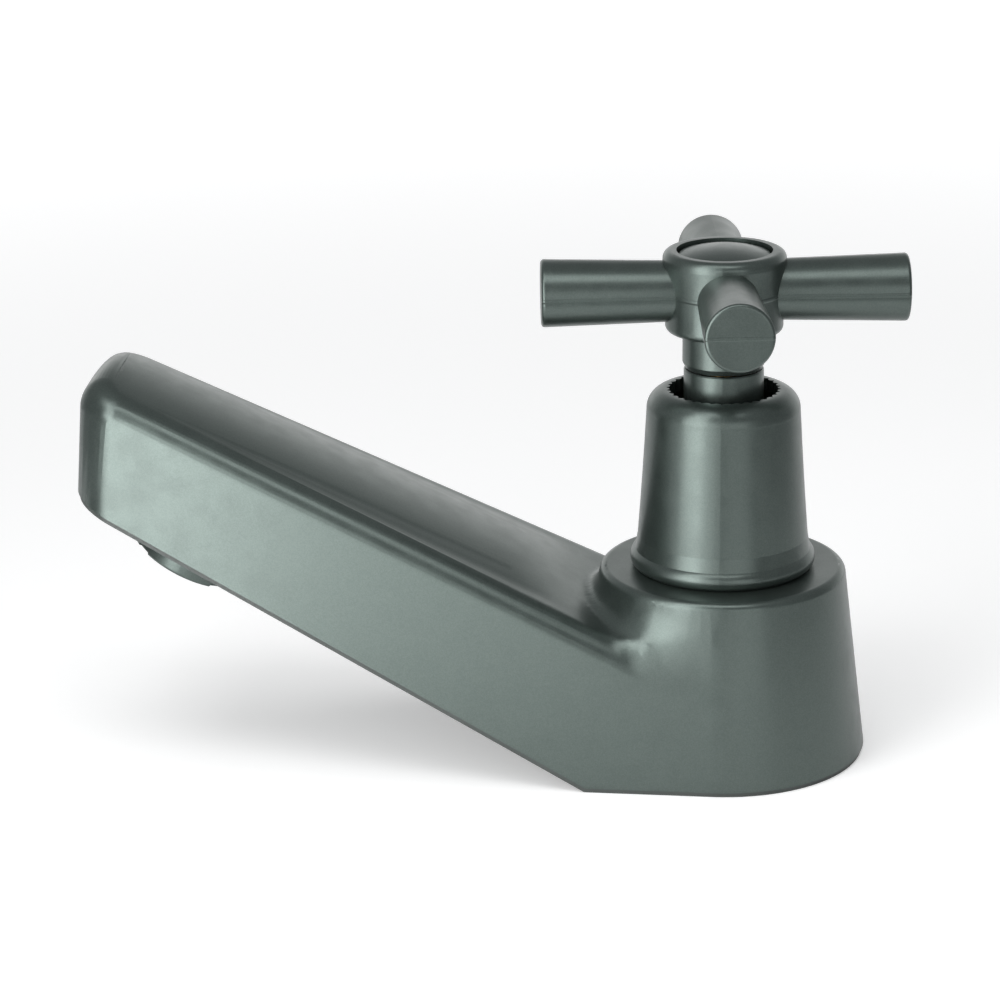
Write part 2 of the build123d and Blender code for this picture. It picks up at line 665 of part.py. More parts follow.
# Headwork: the bonnet screws into the barrel and guides the carrier in a hexagonal bore
with BuildPart() as headwork_bonnet:
    with BuildSketch(Plane.XZ):
        with BuildLine():
            Polyline(
                (0, BONNET_LOW_Z),
                (BONNET_THREAD_R, BONNET_LOW_Z),
                (BONNET_THREAD_R, FLANGE_LOW),
                (FLANGE_ROUND_R, FLANGE_LOW),
                (FLANGE_ROUND_R, FLANGE_TOP),
                (COLLAR_R, FLANGE_TOP),
                (COLLAR_R, COLLAR_TOP),
                (BONNET_BODY_R, COLLAR_TOP),
                (BONNET_BODY_R, BONNET_BODY_TOP),
                (BONNET_NECK_R, BONNET_BODY_TOP),
                (BONNET_NECK_R, BONNET_NECK_TOP),
                (0, BONNET_NECK_TOP),
                close=True,
            )
        make_face()
    revolve(axis=Axis.Z)
    with BuildSketch(Plane.XY.offset(FLANGE_LOW)):
        RegularPolygon(BONNET_HEX / 2, 6, major_radius=False)
    extrude(amount=BONNET_HEX_H)
    with BuildSketch(Plane.XY.offset(BONNET_LOW_Z)):
        RegularPolygon(CARRIER_HEX / 2 + RUN_GAP, 6, major_radius=False)
    extrude(amount=HEX_BORE_TOP - BONNET_LOW_Z, mode=Mode.SUBTRACT)
    with BuildSketch(Plane.XY.offset(HEX_BORE_TOP)):
        Circle(SPINDLE_COLLAR_R + RUN_GAP)
    extrude(amount=SPINDLE_COLLAR_TOP + RUN_GAP - HEX_BORE_TOP, mode=Mode.SUBTRACT)
    with BuildSketch(Plane.XY.offset(SPINDLE_COLLAR_TOP)):
        Circle(STEM_BORE_R)
    extrude(amount=BONNET_NECK_TOP - SPINDLE_COLLAR_TOP, mode=Mode.SUBTRACT)
headwork_bonnet.part.label = "headwork_bonnet"

with BuildPart() as bonnet_washer:
    with BuildSketch(Plane.XY.offset(BASE_H)):
        Circle(BONNET_THREAD_R + BONNET_WASHER_W)
        Circle(BONNET_THREAD_R + JOINT_GAP, mode=Mode.SUBTRACT)
    extrude(amount=BONNET_WASHER_T)
bonnet_washer.part.label = "bonnet_washer"

# Carrier: a hexagonal nut that climbs the spindle's thread, with the washer screwed under its plate
with BuildPart() as valve_carrier:
    with BuildSketch(Plane.XY.offset(PLATE_LOW)):
        Circle(WASHER_R + CARRIER_PLATE_RIM)
    extrude(amount=CARRIER_PLATE_T)
    with BuildSketch(Plane.XY.offset(PLATE_TOP)):
        RegularPolygon(CARRIER_HEX / 2, 6, major_radius=False)
    extrude(amount=CARRIER_TOP - PLATE_TOP)
    with BuildSketch(Plane.XY.offset(CARRIER_BORE_FLOOR)):
        Circle(SPINDLE_THREAD_R + RUN_GAP)
    extrude(amount=CARRIER_TOP - CARRIER_BORE_FLOOR, mode=Mode.SUBTRACT)
    with BuildSketch(Plane.XY.offset(PLATE_LOW)):
        Circle(WASHER_SCREW_R + SEAL_GAP)
    extrude(amount=SCREW_HOLE_TOP - PLATE_LOW, mode=Mode.SUBTRACT)
valve_carrier.part.label = "valve_carrier"

with BuildPart() as seat_washer:
    with BuildSketch(Plane.XY.offset(SEAT_Z)):
        Circle(WASHER_R)
        Circle(WASHER_SCREW_R + SEAL_GAP, mode=Mode.SUBTRACT)
    extrude(amount=WASHER_T)
seat_washer.part.label = "seat_washer"

with BuildPart() as washer_screw:
    with BuildSketch(Plane.XY.offset(SEAT_Z)):
        Circle(WASHER_HEAD_R)
    extrude(amount=-WASHER_HEAD_H)
    chamfer(washer_screw.edges().group_by(Axis.Z)[0], length=WASHER_HEAD_EDGE)
    with BuildSketch(Plane.XY.offset(SEAT_Z)):
        Circle(WASHER_SCREW_R)
    extrude(amount=WASHER_SCREW_L)
    with BuildSketch(Plane.XY.offset(SEAT_Z - WASHER_HEAD_H)):
        Rectangle(2 * WASHER_HEAD_R, SLOT_W)
    extrude(amount=SLOT_DEPTH, mode=Mode.SUBTRACT)
washer_screw.part.label = "washer_screw"

# Spindle: threaded foot, thrust collar, sealed stem and squared top
stem_groove = 2 * (STEM_SEAL_MINOR + STEM_SEAL_ROOM)
seal_heights = [BONNET_BODY_TOP + up for up in STEM_SEAL_UP]
with BuildPart() as spindle:
    with BuildSketch(Plane.XZ):
        with BuildLine():
            Polyline(
                (0, SPINDLE_LOW_Z),
                (SPINDLE_THREAD_R - SPINDLE_EDGE, SPINDLE_LOW_Z),
                (SPINDLE_THREAD_R, SPINDLE_LOW_Z + SPINDLE_EDGE),
                (SPINDLE_THREAD_R, SPINDLE_COLLAR_TOP - SPINDLE_COLLAR_T),
                (SPINDLE_COLLAR_R, SPINDLE_COLLAR_TOP - SPINDLE_COLLAR_T),
                (SPINDLE_COLLAR_R, SPINDLE_COLLAR_TOP),
                (STEM_R, SPINDLE_COLLAR_TOP),
                (STEM_R, SPINDLE_SQUARE_FROM),
                (0, SPINDLE_SQUARE_FROM),
                close=True,
            )
        make_face()
    revolve(axis=Axis.Z)
    squared_end = keyed_square(SPINDLE_SQUARE_FROM, STEM_R, SPINDLE_SQUARE)
    extrude(squared_end, amount=SPINDLE_TOP_Z - SPINDLE_SQUARE_FROM)
    for height in seal_heights:
        with BuildSketch(Plane.XY.offset(height - stem_groove / 2)):
            Circle(STEM_R + OVERCUT)
            Circle(STEM_BORE_R - 2 * SEAL_GAP - 2 * STEM_SEAL_MINOR, mode=Mode.SUBTRACT)
        extrude(amount=stem_groove, mode=Mode.SUBTRACT)
    with BuildSketch(Plane.XY.offset(CLIP_LOW)):
        Circle(STEM_R + OVERCUT)
        Circle(CLIP_GROOVE_R, mode=Mode.SUBTRACT)
    extrude(amount=CLIP_T, mode=Mode.SUBTRACT)
    with BuildSketch(Plane.XY.offset(SPINDLE_TOP_Z)):
        Circle(SCREW_R + SEAL_GAP)
    extrude(amount=WEB_TOP - SCREW_L - SPINDLE_TOP_Z - SLIP_GAP, mode=Mode.SUBTRACT)
spindle.part.label = "spindle"

with BuildPart() as spindle_seals:
    for height in seal_heights:
        with BuildSketch(Plane.XZ):
            with Locations((STEM_BORE_R - SEAL_GAP - STEM_SEAL_MINOR, height)):
                RegularPolygon(STEM_SEAL_MINOR, SEAL_SIDES)
        revolve(axis=Axis.Z)
spindle_seals.part.label = "spindle_seals"

with BuildPart() as spindle_clip:
    with BuildSketch(Plane.XY.offset(CLIP_LOW)):
        Circle(CLIP_R)
        Circle(CLIP_GROOVE_R + SEAL_GAP, mode=Mode.SUBTRACT)
        with Locations((CLIP_R, 0)):
            Rectangle(2 * CLIP_R, 2 * (CLIP_GROOVE_R - CLIP_HOOK), mode=Mode.SUBTRACT)
    extrude(amount=CLIP_T)
spindle_clip.part.label = "spindle_clip"

# Bell: flared foot with a bead, long taper, round shoulder and a toothed mouth
bell_foot = (COLLAR_R + BELL_FOOT_OUT, BASE_H)
bell_bead = (COLLAR_R + BELL_BEAD_OUT, BASE_H + BELL_BEAD_UP)
bell_groove = (COLLAR_R + BELL_GROOVE_OUT, BASE_H + BELL_GROOVE_UP)
bell_waist = (BELL_WAIST_R, BASE_H + BELL_WAIST_UP)
bell_mid = (COLLAR_R + BELL_MID_OUT, BASE_H + BELL_MID_UP)
bell_shoulder = (BELL_TOP_R, BASE_H + BELL_SHOULDER_UP)
bell_top = BASE_H + BELL_TOP_UP
bell_crown = (COLLAR_R + BELL_CROWN_OUT, bell_top)
with BuildPart() as bell_shroud:
    with BuildSketch(Plane.XZ):
        with BuildLine():
            Line((0, BASE_H), bell_foot)
            ThreePointArc(bell_foot, bell_bead, bell_groove)
            Line(bell_groove, bell_waist)
            ThreePointArc(bell_waist, bell_mid, bell_shoulder)
            Polyline(bell_shoulder, bell_crown, (0, bell_top), (0, BASE_H))
        make_face()
    revolve(axis=Axis.Z)
    fillet(bell_shroud.edges().group_by(Axis.Z)[-1], radius=BELL_ROUND)
    with BuildSketch(Plane.XZ):
        with BuildLine():
            thread_land = COLLAR_R + THREAD_GAP
            wide = BELL_WAIST_R - BELL_WALL
            Polyline(
                (0, BASE_H),
                (wide, BASE_H),
                (wide, FLANGE_TOP),
                (thread_land, FLANGE_TOP + BELL_STEP),
                (thread_land, COLLAR_TOP),
                (BELL_TOP_R - BELL_WALL, COLLAR_TOP + 2 * BELL_STEP),
                (BELL_TOP_R - BELL_WALL, bell_shoulder[1] - 2 * BELL_STEP),
                (MOUTH_R + 2 * BELL_STEP, bell_top - BELL_ROOF),
                (MOUTH_R, bell_top - BELL_ROOF),
                (MOUTH_R, bell_top),
                (0, bell_top),
                close=True,
            )
        make_face()
    revolve(axis=Axis.Z, mode=Mode.SUBTRACT)
    with BuildSketch(Plane.XY.offset(bell_top)):
        with PolarLocations(MOUTH_R, MOUTH_TEETH):
            RegularPolygon(MOUTH_NOTCH, 4)
    extrude(amount=-BELL_ROOF, mode=Mode.SUBTRACT)
bell_shroud.part.label = "bell_shroud"

with BuildPart() as neck_sleeve:
    with BuildSketch(Plane.XY.offset(BONNET_BODY_TOP)):
        Circle(SLEEVE_R)
        Circle(BONNET_NECK_R + RUN_GAP, mode=Mode.SUBTRACT)
    extrude(amount=SLEEVE_TOP - BONNET_BODY_TOP)
    chamfer(neck_sleeve.edges().group_by(Axis.Z)[-1].sort_by(SortBy.LENGTH)[-1], length=SLEEVE_EDGE)
neck_sleeve.part.label = "neck_sleeve"

# Cross handle: neck, spool-shaped hub and four flared arms in one moulding
cap_r = RECESS_R - CAP_GAP
crown_radius = (cap_r**2 + CAP_DOME**2) / (2 * CAP_DOME)
with BuildPart() as arm:
    with BuildSketch(Plane.XZ):
        with BuildLine():
            Polyline(
                (0, ARM_Z),
                (ARM_REACH, ARM_Z),
                (ARM_REACH, ARM_Z + ARM_END_R),
                (0, ARM_Z + ARM_ROOT_R),
                close=True,
            )
        make_face()
    revolve(axis=Axis((0, 0, ARM_Z), (1, 0, 0)))
    fillet(arm.edges().group_by(Axis.X)[-1], radius=ARM_EDGE)

hub_waist = (HUB_WAIST_R, HUB_LOW_Z + HUB_WAIST_UP)
hub_rim = (HUB_RIM_R, HUB_LOW_Z + HUB_RIM_UP)
with BuildPart() as cross_handle:
    with BuildSketch(Plane.XZ):
        with BuildLine():
            Polyline(
                (0, NECK_LOW),
                (NECK_R - NECK_EDGE, NECK_LOW),
                (NECK_R, NECK_LOW + 2 * NECK_EDGE),
                (NECK_R, HUB_LOW_Z),
                (HUB_FOOT_R, HUB_LOW_Z),
            )
            ThreePointArc((HUB_FOOT_R, HUB_LOW_Z), hub_waist, hub_rim)
            Polyline(hub_rim, (HUB_RIM_R, HUB_TOP_Z), (0, HUB_TOP_Z), (0, NECK_LOW))
        make_face()
    revolve(axis=Axis.Z)
    at_foot = cross_handle.edges().filter_by(lambda e: abs(e.center().Z - HUB_LOW_Z) < SMALL)
    fillet(at_foot.sort_by(SortBy.LENGTH)[-1], radius=HUB_FOOT_EDGE)
    fillet(cross_handle.edges().group_by(Axis.Z)[-1], radius=HUB_RIM_EDGE)
    with PolarLocations(0, ARM_COUNT, start_angle=ARM_TURN):
        add(arm.part)
    with BuildSketch(Plane.XY.offset(NECK_LOW)):
        Circle(STEM_R + SLIP_GAP)
    extrude(amount=SPINDLE_SQUARE_FROM - NECK_LOW + SLIP_GAP, mode=Mode.SUBTRACT)
    socket = keyed_square(SPINDLE_SQUARE_FROM, STEM_R + RUN_GAP, SPINDLE_SQUARE + 2 * RUN_GAP)
    extrude(socket, amount=WEB_TOP - WEB_T - SPINDLE_SQUARE_FROM, mode=Mode.SUBTRACT)
    with BuildSketch(Plane.XY.offset(HUB_TOP_Z)):
        Circle(RECESS_R)
    extrude(amount=RECESS_FLOOR - HUB_TOP_Z, mode=Mode.SUBTRACT)
    with BuildSketch(Plane.XY.offset(RECESS_FLOOR)):
        Circle(WELL_R)
    extrude(amount=WEB_TOP - RECESS_FLOOR, mode=Mode.SUBTRACT)
    with BuildSketch(Plane.XY.offset(WEB_TOP)):
        Circle(SCREW_R + SLIP_GAP)
    extrude(amount=-2 * WEB_T, mode=Mode.SUBTRACT)
cross_handle.part.label = "cross_handle"

with BuildPart() as handle_screw:
    with BuildSketch(Plane.XZ):
        with BuildLine():
            Polyline(
                (0, WEB_TOP - SCREW_L),
                (SCREW_R, WEB_TOP - SCREW_L),
                (SCREW_R, WEB_TOP),
                (SCREW_HEAD_R, WEB_TOP),
                (SCREW_HEAD_R, WEB_TOP + SCREW_HEAD_H - SCREW_HEAD_EDGE),
                (SCREW_HEAD_R - SCREW_HEAD_EDGE, WEB_TOP + SCREW_HEAD_H),
                (0, WEB_TOP + SCREW_HEAD_H),
                close=True,
            )
        make_face()
    revolve(axis=Axis.Z)
    with BuildSketch(Plane.XY.offset(WEB_TOP + SCREW_HEAD_H)):
        Rectangle(SCREW_CROSS, SLOT_W)
        Rectangle(SLOT_W, SCREW_CROSS)
    extrude(amount=-SCREW_CROSS_DEPTH, mode=Mode.SUBTRACT)
handle_screw.part.label = "handle_screw"

with BuildPart() as index_cap:
    with BuildSketch(Plane.XZ):
        with BuildLine():
            Polyline(
                (0, RECESS_FLOOR - CAP_PLUG_L),
                (WELL_R - SLIP_GAP, RECESS_FLOOR - CAP_PLUG_L),
                (WELL_R - SLIP_GAP, RECESS_FLOOR),
                (cap_r, RECESS_FLOOR),
                (cap_r, CAP_EDGE_Z),
            )
            RadiusArc((cap_r, CAP_EDGE_Z), (0, CAP_EDGE_Z + CAP_DOME), -crown_radius)
            Line((0, CAP_EDGE_Z + CAP_DOME), (0, RECESS_FLOOR - CAP_PLUG_L))
        make_face()
    revolve(axis=Axis.Z)
    cap_rounds = index_cap.edges().filter_by(GeomType.CIRCLE)
    fillet(cap_rounds.filter_by(lambda e: abs(e.center().Z - CAP_EDGE_Z) < SMALL), radius=CAP_EDGE)
index_cap.part.label = "index_cap"

os.makedirs("parts", exist_ok=True)
finished = [
    body_shell,
    underside_cover,
    valve_body,
    valve_seat,
    waterway_tube,
    tube_seals,
    outlet_elbow,
    aerator_housing,
    aerator_insert,
    aerator_washer,
    base_gasket,
    shank_washer,
    back_nut,
    headwork_bonnet,
    bonnet_washer,
    valve_carrier,
    seat_washer,
    washer_screw,
    spindle,
    spindle_seals,
    spindle_clip,
    bell_shroud,
    neck_sleeve,
    cross_handle,
    handle_screw,
    index_cap,
]
for piece in finished:
    export_step(piece.part, f"parts/{piece.part.label}.step")
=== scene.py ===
"""A deck-mounted basin tap in a dark satin metallic coat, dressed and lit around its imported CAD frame.

Every object is in metres in the frame's own axes: the base stands on z = 0, the handle turns about +Z and the
spout points along -Y.
"""

import json
import logging
import math
from dataclasses import dataclass, field
from enum import Enum

import bmesh
import bpy
from mathutils import Matrix, Vector


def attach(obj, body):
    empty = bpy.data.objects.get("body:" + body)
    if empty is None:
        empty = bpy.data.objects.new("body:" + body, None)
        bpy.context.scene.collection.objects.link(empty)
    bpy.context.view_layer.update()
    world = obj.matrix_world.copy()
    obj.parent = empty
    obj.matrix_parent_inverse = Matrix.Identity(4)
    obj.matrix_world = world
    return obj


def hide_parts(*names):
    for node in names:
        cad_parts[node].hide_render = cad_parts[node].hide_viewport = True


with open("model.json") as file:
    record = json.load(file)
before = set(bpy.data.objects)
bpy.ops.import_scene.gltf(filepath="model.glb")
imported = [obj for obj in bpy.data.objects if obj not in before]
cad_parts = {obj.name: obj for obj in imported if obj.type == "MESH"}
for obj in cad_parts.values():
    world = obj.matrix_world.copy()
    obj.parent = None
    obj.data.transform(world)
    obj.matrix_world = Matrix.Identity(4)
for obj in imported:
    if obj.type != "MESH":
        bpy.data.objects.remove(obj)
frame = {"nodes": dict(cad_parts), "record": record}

LOG = logging.getLogger("basin_tap")
MM = 0.001
Colour = tuple[float, float, float]
Triple = tuple[float, float, float]     # a point, a direction or a factor along each axis
Span = tuple[float, float]
AXES = (Vector((1.0, 0.0, 0.0)), Vector((0.0, 1.0, 0.0)), Vector((0.0, 0.0, 1.0)))
NO_STRETCH = (1.0, 1.0, 1.0)
NOISE_MIDDLE = (0.3, 0.7)       # most of a noise's values lie between these


class Body(Enum):
    """The moving bodies of the tap, as the frame names them."""

    TAP = "tap_body"
    HANDLE = "handle"
    CARRIER = "washer_carrier"


class Seam(Enum):
    """Where the two halves of a mould met on a coated piece."""

    NONE = 0
    ARM_PLANE = 1


def clamp(value: float) -> float:
    """Holds a value between 0 and 1.

    Args:
        value: The value.

    Returns:
        The nearest value from 0 to 1.
    """
    return min(max(value, 0.0), 1.0)


def ease(share: float) -> float:
    """Lets a share start and end gently.

    Args:
        share: The share, from 0 to 1.

    Returns:
        The eased share.
    """
    return share * share * (3.0 - 2.0 * share)


def body_of_node(node: str) -> Body:
    """Finds the body that a CAD node belongs to.

    Args:
        node: Name of the CAD node.

    Returns:
        The body.
    """
    groups = frame["record"]["behaviour"]["bodies"]
    return Body(next(body for body, members in groups.items() if node in members))


def new_piece(mesh: bmesh.types.BMesh, name: str, material: bpy.types.Material) -> bpy.types.Object:
    """Makes a finished mesh into an object.

    Args:
        mesh: The mesh, which is freed.
        name: The piece's name.
        material: The piece's material.

    Returns:
        The new object.
    """
    data = bpy.data.meshes.new(name)
    mesh.to_mesh(data)
    mesh.free()
    data.materials.clear()
    data.materials.append(material)
    piece = bpy.data.objects.new(name, data)
    bpy.context.scene.collection.objects.link(piece)
    return piece


def stand_for(piece: bpy.types.Object, node: str) -> None:
    """Lets a piece ride on its node's body and show in the node's place.

    Args:
        piece: The piece.
        node: Name of the CAD node.
    """
    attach(piece, body_of_node(node).value)
    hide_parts(node)


def with_corners(faces: list[bmesh.types.BMFace]) -> list:
    """Lists faces with all their edges and points, each once and in a fixed order.

    Args:
        faces: The faces.

    Returns:
        The faces, their edges and their points.
    """
    edges = dict.fromkeys(edge for face in faces for edge in face.edges)
    points = dict.fromkeys(point for face in faces for point in face.verts)
    return [*faces, *edges, *points]


def divide(mesh: bmesh.types.BMesh, geometry: list, normal: Vector, ends: Span, step: float) -> list:
    """Divides part of a mesh by evenly spaced planes.

    Args:
        mesh: The mesh.
        geometry: Its faces, edges and points that are divided.
        normal: The planes' normal.
        ends: Places of the first and the last plane along the normal.
        step: About how far apart the planes are.

    Returns:
        The divided faces, edges and points.
    """
    first, last = ends
    count = round(abs(last - first) / step)
    for index in range(count + 1):
        place = normal * (first + (last - first) * index / count)
        cut = bmesh.ops.bisect_plane(mesh, geom=geometry, plane_co=place, plane_no=normal)
        geometry = cut["geom"]
    return geometry


def smooth(piece: bpy.types.Object, angle: float = 32.0) -> None:
    """Shades a mesh smooth, with its edges sharp where the faces turn by more than an angle.

    Args:
        piece: The mesh object.
        angle: The turn in degrees above which an edge stays sharp.
    """
    piece.data.shade_smooth()
    piece.data.set_sharp_from_angle(angle=math.radians(angle))


def weigh_normals(piece: bpy.types.Object) -> None:
    """Shades a mesh by its larger faces, so that its walls look flat right up to their roundings.

    Args:
        piece: The mesh object, which has no modifier left afterwards.
    """
    weights = piece.modifiers.new("weigh_normals", "WEIGHTED_NORMAL")
    weights.mode = "FACE_AREA_WITH_ANGLE"
    weights.keep_sharp = True
    plain = piece.data
    evaluated = piece.evaluated_get(bpy.context.evaluated_depsgraph_get())
    shaded = bpy.data.meshes.new_from_object(evaluated)
    piece.modifiers.clear()
    piece.data = shaded
    shaded.name, plain.name = plain.name, "plain"
    bpy.data.meshes.remove(plain)


def calculate(tree: bpy.types.NodeTree, operation: str, first: bpy.types.NodeSocket,
              *others: bpy.types.NodeSocket | float) -> bpy.types.NodeSocket:
    """Adds a Math node.

    Args:
        tree: The node tree.
        operation: The operation's name.
        first: The first value.
        others: The other values, each a socket or a number.

    Returns:
        The result socket.
    """
    node = tree.nodes.new("ShaderNodeMath")
    node.operation = operation
    tree.links.new(first, node.inputs[0])
    for value, socket in zip(others, node.inputs[1:]):
        if isinstance(value, float):
            socket.default_value = value
        else:
            tree.links.new(value, socket)
    return node.outputs["Value"]


def spread(tree: bpy.types.NodeTree, value: bpy.types.NodeSocket, results: Span,
           ends: Span = (0.0, 1.0)) -> bpy.types.NodeSocket:
    """Maps a value smoothly to a new range.

    Args:
        tree: The node tree.
        value: The value socket.
        results: Results at the start and the end of the old range.
        ends: Start and end of the old range.

    Returns:
        The mapped value socket.
    """
    node = tree.nodes.new("ShaderNodeMapRange")
    node.interpolation_type = "SMOOTHSTEP"
    node.inputs["From Min"].default_value, node.inputs["From Max"].default_value = ends
    node.inputs["To Min"].default_value, node.inputs["To Max"].default_value = results
    tree.links.new(value, node.inputs["Value"])
    return node.outputs["Result"]


class ShaderGraph:
    """One material's node tree, with short calls for the nodes that the finishes share."""

    def __init__(self, name: str) -> None:
        """Starts a material with a Principled surface.

        Args:
            name: Name of the material.
        """
        self.material = bpy.data.materials.new(name)
        self.material.use_nodes = True
        self.tree = self.material.node_tree
        self.tree.nodes.clear()
        output = self.tree.nodes.new("ShaderNodeOutputMaterial")
        self.surface = self.tree.nodes.new("ShaderNodeBsdfPrincipled")
        self.link(self.surface.outputs["BSDF"], output.inputs["Surface"])

    def link(self, source: bpy.types.NodeSocket, target: bpy.types.NodeSocket) -> None:
        """Joins an output socket to an input socket."""
        self.tree.links.new(source, target)

    def constants(self, **values: float | Colour) -> None:
        """Sets values on the surface's own sockets.

        Args:
            values: The values, under the sockets' names in lower case and with underscores.
        """
        sockets = {socket.name.lower().replace(" ", "_"): socket for socket in self.surface.inputs}
        for name, value in values.items():
            sockets[name].default_value = (*value, 1.0) if isinstance(value, tuple) else value

    def place(self, stretch: Triple = NO_STRETCH) -> bpy.types.NodeSocket:
        """Gives the point on the piece, in metres, that moves with it.

        Args:
            stretch: Factor along each axis.

        Returns:
            The vector socket.
        """
        coordinates = self.tree.nodes.new("ShaderNodeTexCoord")
        mapping = self.tree.nodes.new("ShaderNodeMapping")
        mapping.inputs["Scale"].default_value = stretch
        self.link(coordinates.outputs["Object"], mapping.inputs["Vector"])
        return mapping.outputs["Vector"]

    def noise(self, size: float, detail: float, stretch: Triple = NO_STRETCH) -> bpy.types.NodeSocket:
        """Adds cloud noise.

        Args:
            size: Rough size of one spot in metres.
            detail: How many finer layers it has.
            stretch: Factor along each axis.

        Returns:
            The value socket, from 0 to 1.
        """
        node = self.tree.nodes.new("ShaderNodeTexNoise")
        node.inputs["Scale"].default_value = 1.0 / size
        node.inputs["Detail"].default_value = detail
        self.link(self.place(stretch), node.inputs["Vector"])
        return node.outputs["Fac"]

    def flakes(self, size: float) -> bpy.types.NodeSocket:
        """Adds cells of random brightness, as metal flakes show.

        Args:
            size: Size of one flake in metres.

        Returns:
            The value socket, from 0 to 1.
        """
        node = self.tree.nodes.new("ShaderNodeTexVoronoi")
        node.inputs["Scale"].default_value = 1.0 / size
        self.link(self.place(), node.inputs["Vector"])
        split = self.tree.nodes.new("ShaderNodeSeparateColor")
        self.link(node.outputs["Color"], split.inputs["Color"])
        return split.outputs["Red"]

    def paint(self, factor: bpy.types.NodeSocket, first: Colour, second: Colour) -> None:
        """Colours the surface with two colours, mixed by a value.

        Args:
            factor: 0 for the first colour and 1 for the second.
            first: The first colour.
            second: The second colour.
        """
        node = self.tree.nodes.new("ShaderNodeMix")
        node.data_type = "RGBA"
        node.inputs["A"].default_value = (*first, 1.0)
        node.inputs["B"].default_value = (*second, 1.0)
        self.link(factor, node.inputs["Factor"])
        self.link(node.outputs["Result"], self.surface.inputs["Base Color"])

    def polish(self, value: bpy.types.NodeSocket, roughness: Span, ends: Span = NOISE_MIDDLE) -> None:
        """Lets the surface's roughness follow a value.

        Args:
            value: The value socket.
            roughness: Roughness at the start and the end of the value's range.
            ends: Start and end of that range.
        """
        self.link(spread(self.tree, value, roughness, ends), self.surface.inputs["Roughness"])

    def height_above(self, level: float) -> bpy.types.NodeSocket:
        """Gives the distance in metres from a level plane of the piece.

        Args:
            level: Height of the plane.

        Returns:
            The distance socket, positive on both sides.
        """
        split = self.tree.nodes.new("ShaderNodeSeparateXYZ")
        self.link(self.place(), split.inputs["Vector"])
        above = calculate(self.tree, "SUBTRACT", split.outputs["Z"], level)
        return calculate(self.tree, "ABSOLUTE", above)

    def relief(self, height: bpy.types.NodeSocket, depth: float) -> None:
        """Adds a bump over those already there.

        Args:
            height: Height from 0 to 1.
            depth: Height in metres that 1 stands for.
        """
        node = self.tree.nodes.new("ShaderNodeBump")
        node.inputs["Strength"].default_value = 1.0
        node.inputs["Distance"].default_value = depth
        self.link(height, node.inputs["Height"])
        target = self.surface.inputs["Normal"]
        if target.is_linked:
            self.link(target.links[0].from_socket, node.inputs["Normal"])
        self.link(node.outputs["Normal"], target)


@dataclass(frozen=True)
class SatinCoat:
    """Dark grey-green metallic paint with a satin sheen, sprayed on moulded pieces."""

    deep: Colour = (0.094, 0.119, 0.109)
    pale: Colour = (0.128, 0.158, 0.146)
    metallic: float = 0.86
    roughness: Span = (0.30, 0.37)
    flake: float = 0.16 * MM
    flake_share: float = 0.55
    cloud: float = 4.0 * MM
    cloud_share: float = 0.45
    lacquer: float = 0.28
    lacquer_roughness: float = 0.22
    lacquer_ior: float = 1.5
    peel: float = 1.4 * MM
    peel_depth: float = 0.0045 * MM
    seam: Seam = Seam.NONE
    seam_level: float = 82.0 * MM
    seam_width: float = 0.42 * MM
    seam_top: float = 0.3           # share of the line's half width that is level
    seam_depth: float = 0.11 * MM

    def make(self, name: str) -> bpy.types.Material:
        """Builds the material.

        Args:
            name: Name of the material.

        Returns:
            The material.
        """
        graph = ShaderGraph(name)
        clouds = graph.noise(self.cloud, detail=3.0)
        shade = calculate(graph.tree, "ADD",
                          calculate(graph.tree, "MULTIPLY", graph.flakes(self.flake), self.flake_share),
                          calculate(graph.tree, "MULTIPLY", clouds, self.cloud_share))
        graph.paint(shade, self.deep, self.pale)
        graph.polish(clouds, self.roughness)
        graph.constants(metallic=self.metallic, coat_weight=self.lacquer, coat_ior=self.lacquer_ior,
                        coat_roughness=self.lacquer_roughness)
        graph.relief(graph.noise(self.peel, detail=1.0), self.peel_depth)
        if self.seam is Seam.ARM_PLANE:
            ends = (self.seam_width * self.seam_top, self.seam_width)
            ridge = spread(graph.tree, graph.height_above(self.seam_level), (1.0, 0.0), ends)
            graph.relief(ridge, self.seam_depth)
        return graph.material


@dataclass(frozen=True)
class MachinedMetal:
    """Metal turned on a lathe, with fine rings of tool marks round the piece's axis."""

    colour: Colour = (0.72, 0.53, 0.25)
    shadow: Colour = (0.50, 0.35, 0.15)
    roughness: Span = (0.24, 0.42)
    tarnish: float = 6.0 * MM
    tarnish_ends: Span = (0.35, 0.75)
    marks: float = 0.18 * MM
    marks_stretch: Triple = (0.02, 0.02, 1.0)
    marks_depth: float = 0.004 * MM

    def make(self, name: str) -> bpy.types.Material:
        """Builds the material.

        Args:
            name: Name of the material.

        Returns:
            The material.
        """
        graph = ShaderGraph(name)
        tarnish = graph.noise(self.tarnish, detail=4.0)
        rings = graph.noise(self.marks, detail=1.0, stretch=self.marks_stretch)
        graph.paint(spread(graph.tree, tarnish, (0.0, 1.0), self.tarnish_ends), self.colour, self.shadow)
        graph.polish(rings, self.roughness)
        graph.constants(metallic=1.0)
        graph.relief(rings, self.marks_depth)
        return graph.material


